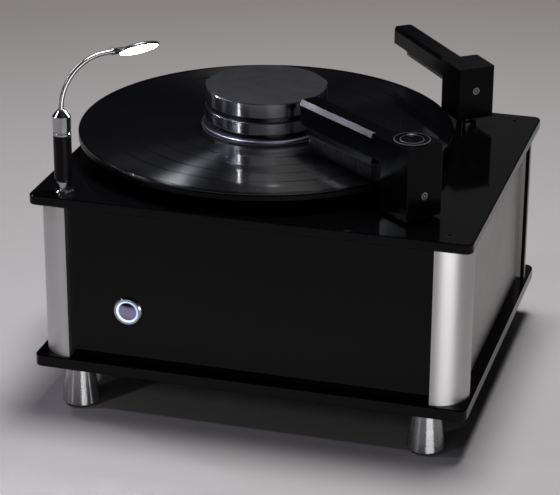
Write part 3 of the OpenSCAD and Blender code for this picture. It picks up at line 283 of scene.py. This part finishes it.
def rings(name, colour, rough, centre, metal=1.0, anisotropy=0.75):
    """Turned metal: concentric tool marks about an upright axis."""
    look = Look(name, colour, rough, metal, Specular_IOR_Level=0.1)
    lines = look.radial_noise(look.away(centre), 1 / TOOL_PITCH, 3)
    look.rough(look.spread(lines, rough * 0.8, rough * 1.25))
    look.colour(look.blend(lines, *shades(colour, 0.94, 1.06)))
    look.bump(lines, 0.0008)
    return look.turned(anisotropy)


# Painted shade on the step of the rear posts, black in a strip: the strip's distance from the panel and from
# the post's outside
SHADE_STRIP_GAP, SHADE_STRIP_RIM = 3.2 * MM, 0.9 * MM


def post_aluminium():
    """Satin extrusion, with painted shade on the step of the rear posts beside the panels: darker grey, and
    black in a strip.
    """
    look = brushed("satin_aluminium", (0.62, 0.615, 0.61), 0.48, (1, 1, 90), 0.001, 0.3,
                   tones=((0.6, 0.595, 0.59), (0.65, 0.645, 0.64)))
    step_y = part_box("post_rear_right")[0].y
    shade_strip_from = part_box("right_panel")[1].x + SHADE_STRIP_GAP
    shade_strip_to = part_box("post_rear_right")[1].x - SHADE_STRIP_RIM
    on_step = look.span(look.off(look.axis(1), step_y), SOFT, SOFTER, 1, 0)
    past_start = look.span(look.axis(0), shade_strip_from, shade_strip_from + SOFT, 0, 1)
    before_end = look.span(look.axis(0), shade_strip_to, shade_strip_to + SOFT, 1, 0)
    shade_strip = look.maths("MULTIPLY", past_start, before_end)
    # painted shade: the step face darker than the post, and black in the strip
    painted_step_shade = look.blend(shade_strip, (0.3, 0.295, 0.29), (0.004, 0.004, 0.004))
    look.colour(look.blend(on_step, look.tone, painted_step_shade))
    return look.turned(0.6)


HIGHLIGHT_RIM_W = 0.5 * MM
HIGHLIGHT_RIM_DEPTH = 1 * MM     # only this near the arm's top carries the painted highlight


def arm_coat():
    """Smooth black of the arms, with two fine painted highlights as rims round the pump button."""
    look = Look("arm_black", (0.001, 0.001, 0.0015), 0.2, Specular_IOR_Level=0.1)
    cloud = look.noise(25, detail=4)
    look.rough(look.spread(cloud, 0.17, 0.24))
    away = look.away(middle("pump_button"))
    painted_rim_highlights = 0
    for node in ("pump_bezel", "pump_button"):
        highlight_rim_r = (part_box(node)[1].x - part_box(node)[0].x) / 2 - HIGHLIGHT_RIM_W
        painted_rim_highlights = look.maths("MAXIMUM", painted_rim_highlights, look.span(look.off(away, highlight_rim_r), HIGHLIGHT_RIM_W * 0.6, HIGHLIGHT_RIM_W, 1, 0))
    arm_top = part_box("brush_arm")[1].z
    above = look.span(look.axis(2), arm_top - HIGHLIGHT_RIM_DEPTH, arm_top - HIGHLIGHT_RIM_DEPTH * 0.9, 0, 1)
    shade = look.blend(cloud, (0.0008, 0.0008, 0.0012), (0.0014, 0.0014, 0.002))
    # painted highlight: two thin bright rims on the edges of the pump bezel and button
    look.colour(look.blend(look.maths("MULTIPLY", painted_rim_highlights, above), shade, (0.07, 0.07, 0.075)))
    look.bump(look.noise(0.25, detail=2), 0.004)
    return look


WALL_BELOW, TOP_ABOVE = 0.75, 0.95     # height of the normal on walls and on upper faces


def clamp_metal():
    """Dark plated metal of the clamp: satin upper faces with painted shade, turned walls with a painted
    highlight.
    """
    look = Look("clamp_grey", (0.13, 0.13, 0.14), 0.2, 1.0)
    facing = look.node("SeparateXYZ")
    look.put(look.node("TexCoord").outputs["Normal"], facing.inputs[0])
    cloud = look.spread(look.noise(12, detail=3), -0.02, 0.02)
    look.rough(look.maths("ADD", look.span(facing.outputs[2], WALL_BELOW, TOP_ABOVE, 0.14, 0.5), cloud))
    tooth = look.noise(0.3, detail=2)
    flat = look.span(facing.outputs[2], WALL_BELOW, TOP_ABOVE, 0, 1)
    # painted light by which way a face points: walls painted bright as a highlight, upper faces painted dark
    # as shade
    walls_painted_bright = look.blend(tooth, (0.52, 0.52, 0.56), (0.58, 0.58, 0.62))
    tops_painted_dark = look.blend(tooth, (0.06, 0.06, 0.066), (0.068, 0.068, 0.074))
    look.colour(look.blend(flat, walls_painted_bright, tops_painted_dark))
    look.bump(tooth, 0.001)
    return look


# Radii of the record's zones, and its song gaps
LABEL_R, RUN_OUT_R, GROOVE_R = 50 * MM, 58.5 * MM, 146.5 * MM
SONG_GAPS = (74.5 * MM, 91.5 * MM, 108.5 * MM, 126.2 * MM)
GAP_HALF = 0.6 * MM
GROOVE_PITCH = 1.1     # mm, as waves() takes it
BANDS_PER_METRE = 420


def vinyl():
    """Pressed record: grooves with louder and quieter bands, song gaps, run-out and a paper label."""
    look = Look("vinyl", (0.001, 0.001, 0.0018), 0.42, Specular_IOR_Level=0.16, Coat_Weight=1,
                Coat_Roughness=0.05)
    away = look.away(RECORD_MIDDLE)
    loud = look.spread(look.radial_noise(away, BANDS_PER_METRE, 6), 0.33, 0.42)
    plain = look.span(away, RUN_OUT_R, RUN_OUT_R + 2 * SOFT, 1, 0)
    plain = look.maths("MAXIMUM", plain, look.span(away, GROOVE_R, GROOVE_R + SOFTER, 0, 1))
    for gap in SONG_GAPS:
        bare = look.span(look.off(away, gap), GAP_HALF, GAP_HALF + SOFTER, 1, 0)
        plain = look.maths("MAXIMUM", plain, bare)
    look.rough(look.maths("ADD", loud, look.maths("MULTIPLY", plain, -0.14)))
    grooves = look.waves(away, GROOVE_PITCH)
    look.bump(look.maths("MULTIPLY", grooves, look.span(plain, 0, 1, 1, 0)), 0.0006)
    paper = look.span(away, LABEL_R, LABEL_R + SOFT, 1, 0)
    look.colour(look.blend(paper, (0.001, 0.001, 0.0015), (0.16, 0.15, 0.14)))
    return look.turned(0.93)


def lit_lens():
    """Diffuser of the lamp with a faint row of light sources behind it."""
    look = Look("lamp_glow", (0.9, 0.93, 1.0), 0.35)
    glow = look.spread(look.noise(4, detail=1), 170, 210)
    look.shader.inputs["Emission Color"].default_value = (0.86, 0.92, 1.0, 1)
    look.put(glow, look.shader.inputs["Emission Strength"])
    return look


RING_FADE = 9 * MM


def lit_ring():
    """Ring light of the power button, brightest low on its left."""
    look = Look("ring_glow", (0.1, 0.14, 0.3), 0.25)
    low = look.maths("ADD", look.axis(0), look.axis(2))
    middle_sum = POWER_MIDDLE.x + POWER_MIDDLE.z
    share = look.span(low, middle_sum - RING_FADE, middle_sum + RING_FADE, 0, 1)
    glow = look.blend(share, (0.7, 0.82, 1.0), (0.42, 0.6, 1.0))
    look.put(glow, look.shader.inputs["Emission Color"])
    look.put(look.span(share, 0, 1, 1.5, 1.1), look.shader.inputs["Emission Strength"])
    return look


def board():
    """Printed board with a tinned track pattern."""
    look = Look("circuit_board", (0.03, 0.12, 0.05), 0.4, IOR=1.5)
    tracks = look.span(look.speckle(3.2), 0.42, 0.46, 0, 1)
    look.colour(look.blend(tracks, (0.03, 0.12, 0.05), (0.1, 0.26, 0.12)))
    look.bump(tracks, 0.03)
    return look


def milky():
    """Milky wall of a blow-moulded tank."""
    look = Look("tank_plastic", (0.62, 0.65, 0.66), 0.45, IOR=1.5, Subsurface_Weight=0.15)
    cloud = look.noise(40, detail=3)
    look.colour(look.blend(cloud, (0.55, 0.58, 0.6), (0.68, 0.7, 0.7)))
    look.bump(look.noise(2.5, detail=2), 0.03)
    return look


def felt():
    """Short felt nap."""
    look = Look("felt", (0.03, 0.03, 0.034), 0.95, Sheen_Weight=0.5)
    nap = look.noise(0.4, detail=4)
    look.colour(look.blend(nap, (0.018, 0.018, 0.02), (0.06, 0.06, 0.066)))
    look.bump(nap, 0.15)
    return look


def filament():
    """Nylon hair with paler and darker stretches along it."""
    look = Look("bristle", (0.01, 0.01, 0.011), 0.5, Specular_IOR_Level=0.2)
    shade = look.noise(1.2, (1, 1, 5), detail=2)
    look.colour(look.blend(shade, (0.001, 0.001, 0.0015), (0.03, 0.03, 0.036)))
    look.bump(look.noise(0.3, detail=1), 0.01)
    return look


LOOKS = {
    "gloss_black": acrylic("gloss_black", (0.0012, 0.0012, 0.0015), 0.06),
    "rear_black": moulded("rear_black", (0.014, 0.014, 0.015), 0.38, grain=0.6),
    "satin_aluminium": post_aluminium(),
    "side_aluminium": brushed("side_aluminium", (0.36, 0.35, 0.345), 0.42, (1, 90, 1), 0.001, 0.3),
    "chrome": polished("chrome", (0.47, 0.47, 0.48), 0.11, anisotropy=0.85),
    "rubber": moulded("rubber", (0.018, 0.018, 0.018), 0.75, depth=0.05),
    "screw_steel": brushed("screw_steel", (0.26, 0.26, 0.265), 0.2, (6, 6, 6)),
    "screw_black": anodised("screw_black", (0.012, 0.012, 0.013), 0.3, 0.5),
    "light_ring": lit_ring(),
    "button_metal": polished("button_metal", (0.36, 0.35, 0.5), 0.14, smear=5),
    "black_plastic": moulded("black_plastic", (0.002, 0.0015, 0.002), 0.36),
    "lamp_silver": anodised("lamp_silver", (0.3, 0.3, 0.32), 0.26),
    "lamp_glow": lit_lens(),
    "platter_black": rings("platter_black", (0.0006, 0.0006, 0.0008), 0.3, RECORD_MIDDLE, 0, anisotropy=0),
    "vinyl": vinyl(),
    "clamp_grey": clamp_metal(),
    "clamp_bright": rings("clamp_bright", (0.17, 0.16, 0.2), 0.4, RECORD_MIDDLE, anisotropy=0.3),
    "clamp_black": rings("clamp_black", (0.02, 0.02, 0.022), 0.3, RECORD_MIDDLE),
    "arm_black": arm_coat(),
    "holder_black": moulded("holder_black", (0.001, 0.001, 0.0015), 0.3, depth=0.008),
    "bristle": filament(),
    "felt": felt(),
    "motor_metal": brushed("motor_metal", (0.38, 0.38, 0.4), 0.34, (1, 1, 20)),
    "brass": rings("brass", (0.7, 0.48, 0.2), 0.25, middle("motor_pulley")),
    "tank_plastic": milky(),
    "hose_plastic": moulded("hose_plastic", (0.32, 0.34, 0.36), 0.5, grain=1.2),
    "circuit_board": board(),
}

for part in frame["record"]["subparts"]:
    shown = frame["nodes"][part["node"]]
    shown.data.materials.clear()
    shown.data.materials.append(LOOKS[part["material_slot"]].mat)
foot_metal = polished("foot_chrome", (0.42, 0.42, 0.425), 0.26, anisotropy=0.96)
frame["nodes"]["feet"].data.materials[0] = foot_metal.mat

# Pieces made here


def piece(name, mesh, slot, body, *stood_for):
    """Finishes a bmesh as a piece of the machine."""
    data = bpy.data.meshes.new(name)
    mesh.to_mesh(data)
    mesh.free()
    data.materials.append(LOOKS[slot].mat)
    made = bpy.data.objects.new(name, data)
    bpy.context.scene.collection.objects.link(made)
    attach(made, body)
    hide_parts(*stood_for)


def loft(mesh, outlines):
    """Skins a row of closed outlines with the same number of points, and caps both ends."""
    loops = [[mesh.verts.new(p) for p in outline] for outline in outlines]
    for low, high in zip(loops, loops[1:]):
        for i in range(len(low)):
            j = (i + 1) % len(low)
            mesh.faces.new((low[i], low[j], high[j], high[i])).smooth = True
    mesh.faces.new(loops[0][::-1])
    mesh.faces.new(loops[-1])


def round_outline(at, r, sides, tilt=0.0):
    """Circle of points in the local XY plane of the frame at."""
    angles = [2 * math.pi * k / sides + tilt for k in range(sides)]
    return [at @ Vector((r * math.cos(a), r * math.sin(a), 0)) for a in angles]


# Brush: tufts of tapered filaments set in the holder's foot, inside the CAD form's space
HOLDER_FROM, HOLDER_TO = 35 * MM, 117 * MM
HOLDER_Y, HOLDER_W = 2.5 * MM, 8 * MM
TIP_Z, ROOT_Z = 17.8 * MM, 30.2 * MM
BACK_H, BACK_BEVEL = 1.2 * MM, 0.4 * MM
TUFT_COLUMNS, TUFT_ROWS, TUFT_HAIRS = 27, 3, 26
TUFT_END, TUFT_SIDE = 1.5 * MM, 0.8 * MM     # bare margins of the back round the tufts
HAIR_SEED = 7


def brush():
    """Back plate of the brush with its tufts."""
    chance = random.Random(HAIR_SEED)
    mesh = bmesh.new()
    x_mid, y_mid = (HOLDER_FROM + HOLDER_TO) / 2, HOLDER_Y + HOLDER_W / 2
    half_x, half_y = (HOLDER_TO - HOLDER_FROM) / 2, HOLDER_W / 2
    outlines = []
    for z, inset in ((0, BACK_BEVEL), (BACK_BEVEL, 0), (BACK_H, 0)):
        corners = [(x_mid + side_x * (half_x - inset), y_mid + side_y * (half_y - inset))
                   for side_x, side_y in ((-1, -1), (1, -1), (1, 1), (-1, 1))]
        outlines.append([AT_BRUSH @ Vector((x, y, ROOT_Z + z)) for x, y in corners])
    loft(mesh, outlines)
    pitch_x = (2 * half_x - 2 * TUFT_END) / TUFT_COLUMNS
    pitch_y = (HOLDER_W - 2 * TUFT_SIDE) / TUFT_ROWS
    for column in range(TUFT_COLUMNS):
        for row in range(TUFT_ROWS):
            root_x = HOLDER_FROM + TUFT_END + (column + 0.5) * pitch_x
            root_y = HOLDER_Y + TUFT_SIDE + (row + 0.5) * pitch_y
            for _ in range(TUFT_HAIRS):
                hair(mesh, chance, root_x, root_y, pitch_x, pitch_y)
    piece("brush_tufts", mesh, "bristle", "brush_arm", "brush_bristles")


HAIR_RADII = ((0, 0.16), (0.5, 0.15), (1, 0.07))     # share of its length from the root, radius in mm
HAIR_SIDES = 4
HAIR_SET = 0.3 * MM     # how far its root sits in the back
HAIR_UNEVEN = 0.25      # most that a tip is short of the full length, in mm
FAN_ROOT, FAN_MORE = 0.3, 0.18     # spread of a tuft at its root in pitches, and what its tips add


def hair(mesh, chance, root_x, root_y, pitch_x, pitch_y):
    """One filament that leans outwards from its tuft."""
    angle = chance.uniform(0, 2 * math.pi)
    spread = math.sqrt(chance.random())
    off_x, off_y = spread * math.cos(angle), spread * math.sin(angle)
    tip = TIP_Z + chance.uniform(0, HAIR_UNEVEN) * MM
    outlines = []
    for share, r in HAIR_RADII:
        fan = FAN_ROOT + FAN_MORE * share
        x = root_x + off_x * pitch_x * fan
        y = root_y + off_y * pitch_y * fan
        z = ROOT_Z + HAIR_SET + (tip - ROOT_Z - HAIR_SET) * share
        at = AT_BRUSH @ Matrix.Translation((x, y, z))
        outlines.append(round_outline(at, r * MM, HAIR_SIDES, angle)[::-1])
    loft(mesh, outlines)


brush()

# Felt lips: soft bars with a rounded mouth and an uneven nap, one on each side of the nozzle's slot
LIP_FROM, LIP_TO = 27 * MM, 106 * MM
LIP_H = 3 * MM
LIP_STEPS, LIP_SIDES = 90, 16
LIP_END, LIP_END_STEPS = 0.75, 2     # share of the section left at the very end, steps to the full one
LIP_FLAT_Y, LIP_FLAT_Z = 1.25, 1.1     # a circle stretched by these and cut off gives flat sides
NAP_H, NAP_PER_METRE = 0.12 * MM, 1800
ARM_HALF, NOZZLE_FRONT, NOZZLE_W, NOZZLE_WALL, NOZZLE_SLOT = 16 * MM, 10 * MM, 6.5 * MM, 1 * MM, 2 * MM


def flattened(value, stretch):
    """A sine or cosine with its peaks cut flat."""
    return max(-1, min(1, stretch * value))


def felt_lips():
    """Both lips, each a row of soft-cornered sections roughened inwards."""
    mesh = bmesh.new()
    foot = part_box("suction_lips")[0].z - DECK_Z
    for y_mid, width in felt_rows():
        outlines = []
        for i in range(LIP_STEPS + 1):
            x = LIP_FROM + (LIP_TO - LIP_FROM) * i / LIP_STEPS
            end = min(1, LIP_END + (1 - LIP_END) * min(i, LIP_STEPS - i) / LIP_END_STEPS)
            outline = []
            for k in range(LIP_SIDES):
                a = 2 * math.pi * k / LIP_SIDES
                y = y_mid + end * width / 2 * flattened(math.cos(a), LIP_FLAT_Y)
                z = foot + LIP_H / 2 + LIP_H / 2 * flattened(math.sin(a), LIP_FLAT_Z) * end
                point = Vector((x, y, z))
                fuzz = NAP_H * noise.noise(point * NAP_PER_METRE)
                inward = Vector((0, y_mid - y, foot + LIP_H / 2 - z)).normalized()
                outline.append(AT_SUCTION @ (point + inward * abs(fuzz)))
            outlines.append(outline)
        loft(mesh, outlines)
    piece("suction_felt", mesh, "felt", "suction_arm", "suction_lips")


def felt_rows():
    """Middle and width of each lip."""
    y = ARM_HALF - NOZZLE_FRONT - NOZZLE_W
    width = (NOZZLE_W - 2 * NOZZLE_WALL - NOZZLE_SLOT) / 2
    return [(y + NOZZLE_WALL + width / 2, width), (y + NOZZLE_W - NOZZLE_WALL - width / 2, width)]


felt_lips()

# Bent neck of the lamp: wound steel with close rings
NECK_R = 1.9 * MM
NECK_BEND = 38 * MM
NECK_RUN = 7 * MM
NECK_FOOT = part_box("lamp_neck")[0].z - DECK_Z
NECK_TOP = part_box("lamp_sleeve")[1].z - DECK_Z
NECK_SIDES = 16
RING_PITCH, RING_DEPTH = 1.3 * MM, 0.09 * MM
RING_STEPS = 6


def neck():
    """Ringed tube that rises, bends over by a quarter turn and runs on into the head."""
    mesh = bmesh.new()
    straight = NECK_TOP - NECK_FOOT
    arc = NECK_BEND * math.pi / 2
    total = straight + arc + NECK_RUN
    count = int(total / RING_PITCH) * RING_STEPS
    outlines = []
    for i in range(count + 1):
        s = total * i / count
        groove = RING_DEPTH * (0.5 - 0.5 * math.cos(2 * math.pi * i / RING_STEPS))
        if s < straight:
            at = Matrix.Translation((0, 0, NECK_FOOT + s))
        elif s < straight + arc:
            a = (s - straight) / NECK_BEND
            x, z = NECK_BEND * (1 - math.cos(a)), NECK_TOP + NECK_BEND * math.sin(a)
            at = Matrix.Translation((x, 0, z)) @ Matrix.Rotation(a, 4, "Y")
        else:
            x = NECK_BEND + s - straight - arc
            at = Matrix.Translation((x, 0, NECK_TOP + NECK_BEND)) @ Matrix.Rotation(math.pi / 2, 4, "Y")
        outlines.append(round_outline(AT_LAMP @ at, NECK_R - groove, NECK_SIDES))
    loft(mesh, outlines)
    piece("lamp_gooseneck", mesh, "chrome", "lamp", "lamp_neck")


neck()

# Lamp shell: a smooth leaf that is thin at its rim and swells to the neck
HEAD_ROLL = 36
HEAD_L, HEAD_W = 35 * MM, 22 * MM
HEAD_STUB, HEAD_LAP = 6 * MM, 1 * MM
HEAD_DROP = 2.4 * MM
HEAD_MID = HEAD_STUB + HEAD_L / 2 - HEAD_LAP
# From the lens pocket round the rim: what the outline lacks in length and width, height above the lower face
RIM_TOP = 1.4
SHELL_RIM = ((3, 1.2), (3, 0.2), (2.4, 0), (0.8, 0), (0.2, 0.25), (0, 0.8), (0, RIM_TOP))
CROWN_H, CROWN_STEPS, CROWN_FULL = 2.25 * MM, 12, 0.55
# Sleeve that takes the neck: place along it and radius in mm, and how much it falls per mm
STUB = ((-1, 2.4), (-0.8, 2.8), (1.2, 2.8), (1.6, 2.5), (5, 2.4), (9, 2.1), (11, 1.2))
STUB_FALL = 0.02
STUB_SIDES = 24
LEAF_STEPS = 72
AT_HEAD = (AT_LAMP @ Matrix.Translation((NECK_BEND + NECK_RUN, 0, NECK_TOP + NECK_BEND))
           @ Matrix.Rotation(math.radians(-HEAD_ROLL), 4, "X"))


def leaf(l, w, z):
    """Oval outline of the head at a height."""
    angles = [2 * math.pi * k / LEAF_STEPS for k in range(LEAF_STEPS)]
    return [AT_HEAD @ Vector((HEAD_MID + l / 2 * math.cos(a), w / 2 * math.sin(a), z)) for a in angles]


def lamp_shell():
    """Crowned shell with the pocket of the lens in its lower face, and the sleeve of the neck."""
    mesh = bmesh.new()
    rows = [(HEAD_L - less * MM, HEAD_W - less * MM, up * MM - HEAD_DROP) for less, up in SHELL_RIM]
    for i in range(1, CROWN_STEPS):
        a = math.pi / 2 * i / CROWN_STEPS
        share = math.cos(a) ** CROWN_FULL
        rows.append((HEAD_L * share, HEAD_W * share, RIM_TOP * MM - HEAD_DROP + CROWN_H * math.sin(a)))
    loft(mesh, [leaf(*row) for row in rows])
    sleeve = []
    for x, r in STUB:
        at = AT_HEAD @ Matrix.Translation((x * MM, 0, -STUB_FALL * MM * x))
        sleeve.append(round_outline(at @ Matrix.Rotation(math.pi / 2, 4, "Y"), r * MM, STUB_SIDES))
    loft(mesh, sleeve)
    piece("lamp_shell", mesh, "lamp_silver", "lamp", "lamp_head")


lamp_shell()

# Floor, light and camera

FLOOR_SIZE = 12
SHADE_TOWARDS = (-0.5, 0.866)             # direction in which painted shade darkens the floor, between two distances
NEAR_EDGE, FAR_EDGE = -0.1, 0.95
PALE_FROM, PALE_TO = 1.15, 2.6      # far from the machine the camera sees the backdrop's own tone
BACKDROP = (0.21, 0.203, 0.2)
SKY = (0.012, 0.012, 0.013)


def floor():
    """Plain pale floor with painted shade that darkens it towards the rear left."""
    bpy.ops.mesh.primitive_plane_add(size=FLOOR_SIZE, location=(0, 0, 0))
    made = bpy.context.object
    made.name = "floor"
    look = Look("floor_paper", (0.45, 0.44, 0.44), 0.6, Specular_IOR_Level=0.2)
    shade_along = look.maths("ADD", look.maths("MULTIPLY", look.axis(0), SHADE_TOWARDS[0]),
                      look.maths("MULTIPLY", look.axis(1), SHADE_TOWARDS[1]))
    share = look.span(shade_along, NEAR_EDGE, FAR_EDGE, 0, 1)
    # painted shade: the floor's colour darkens towards the rear left
    look.colour(look.blend(share, (0.46, 0.44, 0.447), (0.3, 0.278, 0.268)))
    look.bump(look.noise(1.5, detail=2), 0.01)
    beyond = look.span(look.away(Vector((0, 0, 0))), PALE_FROM, PALE_TO, 0, 1)
    seen_direct = look.node("LightPath").outputs["Is Camera Ray"]
    look.shader.inputs["Emission Color"].default_value = (*BACKDROP, 1)
    look.put(look.maths("MULTIPLY", beyond, seen_direct), look.shader.inputs["Emission Strength"])
    made.data.materials.append(look.mat)
    return made


def spare_floor(paper, light):
    """A low light then falls on the object alone, and leaves no white patch on the floor before it."""
    spared = bpy.data.collections.new("not_lit_from_the_front")
    spared.objects.link(paper)
    light.light_linking.receiver_collection = spared
    spared.collection_objects[0].light_linking.link_state = "EXCLUDE"


def softbox(name, at, target, size, watts, colour):
    """Rectangular area light aimed at a place."""
    data = bpy.data.lights.new(name, "AREA")
    data.shape = "RECTANGLE"
    data.size, data.size_y = size
    data.energy = watts
    data.color = colour
    made = bpy.data.objects.new(name, data)
    bpy.context.scene.collection.objects.link(made)
    made.location = at
    made.rotation_euler = (Vector(target) - Vector(at)).to_track_quat("-Z", "Y").to_euler()
    return made


def sky():
    """Dim sky for the light, and the pale backdrop for the camera."""
    world = bpy.data.worlds.new("studio")
    bpy.context.scene.world = world
    world.use_nodes = True
    nodes, links = world.node_tree.nodes, world.node_tree.links
    tone = nodes.new("ShaderNodeMix")
    tone.data_type = "RGBA"
    tone.inputs[6].default_value = (*SKY, 1)
    tone.inputs[7].default_value = (*BACKDROP, 1)
    links.new(nodes.new("ShaderNodeLightPath").outputs["Is Camera Ray"], tone.inputs[0])
    links.new(tone.outputs[2], nodes["Background"].inputs["Color"])


# Camera fitted to the plate corners and the record's rim in the photograph
CAMERA_AT = (0.4523, -1.63688, 0.8135)
CAMERA_YAW = 16.008
CAMERA_PITCH = 23.213
CAMERA_ROLL = 0.272
CAMERA_LENS, SENSOR_W = 143.6, 36


def camera():
    """Camera at its fitted place, turned by yaw, pitch and roll."""
    data = bpy.data.cameras.new("camera")
    data.sensor_width = SENSOR_W
    data.lens = CAMERA_LENS
    made = bpy.data.objects.new("camera", data)
    bpy.context.scene.collection.objects.link(made)
    yaw, pitch, roll = (math.radians(a) for a in (CAMERA_YAW, CAMERA_PITCH, CAMERA_ROLL))
    ahead = Vector((-math.sin(yaw) * math.cos(pitch), math.cos(yaw) * math.cos(pitch), -math.sin(pitch)))
    right = Vector((math.cos(yaw), math.sin(yaw), 0))
    up = right.cross(ahead)
    tilted_right = math.cos(roll) * right + math.sin(roll) * up
    tilted_up = math.cos(roll) * up - math.sin(roll) * right
    turn = Matrix((tilted_right, tilted_up, -ahead)).transposed()
    made.matrix_world = Matrix.Translation(CAMERA_AT) @ turn.to_4x4()
    bpy.context.scene.camera = made


# Name, place, place aimed at, size, watts and colour of each light
WHITE, COOL = (1, 1, 1), (0.86, 0.84, 1.0)
LIGHTS = (
    ("overhead", (0.1, 0.24, 1.95), (0, 0, 0), (0.6, 0.6), 38, WHITE),
    ("key_left", (-1.25, 0.3, 1.15), (0.06, -0.02, 0.25), (0.13, 0.13), 3.6, COOL),
    ("front_right", (0.8, -0.99, 0.2), (0, 0, 0.12), (0.95, 0.36), 7.2, WHITE),
    ("side_left", (-1.22, -0.4, 1.15), (0, 0, 0.2), (0.1, 0.1), 3.0, COOL),
    ("front_left", (-0.94, -1.29, 0.7), (0, 0, 0.15), (0.04, 0.5), 1.9, WHITE),
    ("front_wall", (0.35, -2.4, 1.15), (0, 0, 0.3), (2.2, 0.6), 0.8, WHITE),
    ("rear_dim", (-0.22, 2.3, 1.1), (0, 0, 0.15), (0.34, 0.6), 0.064, WHITE),
)

camera()
paper = floor()
lights = {row[0]: softbox(*row) for row in LIGHTS}
spare_floor(paper, lights["front_right"])
sky()
bpy.context.scene.view_settings.view_transform = "Standard"
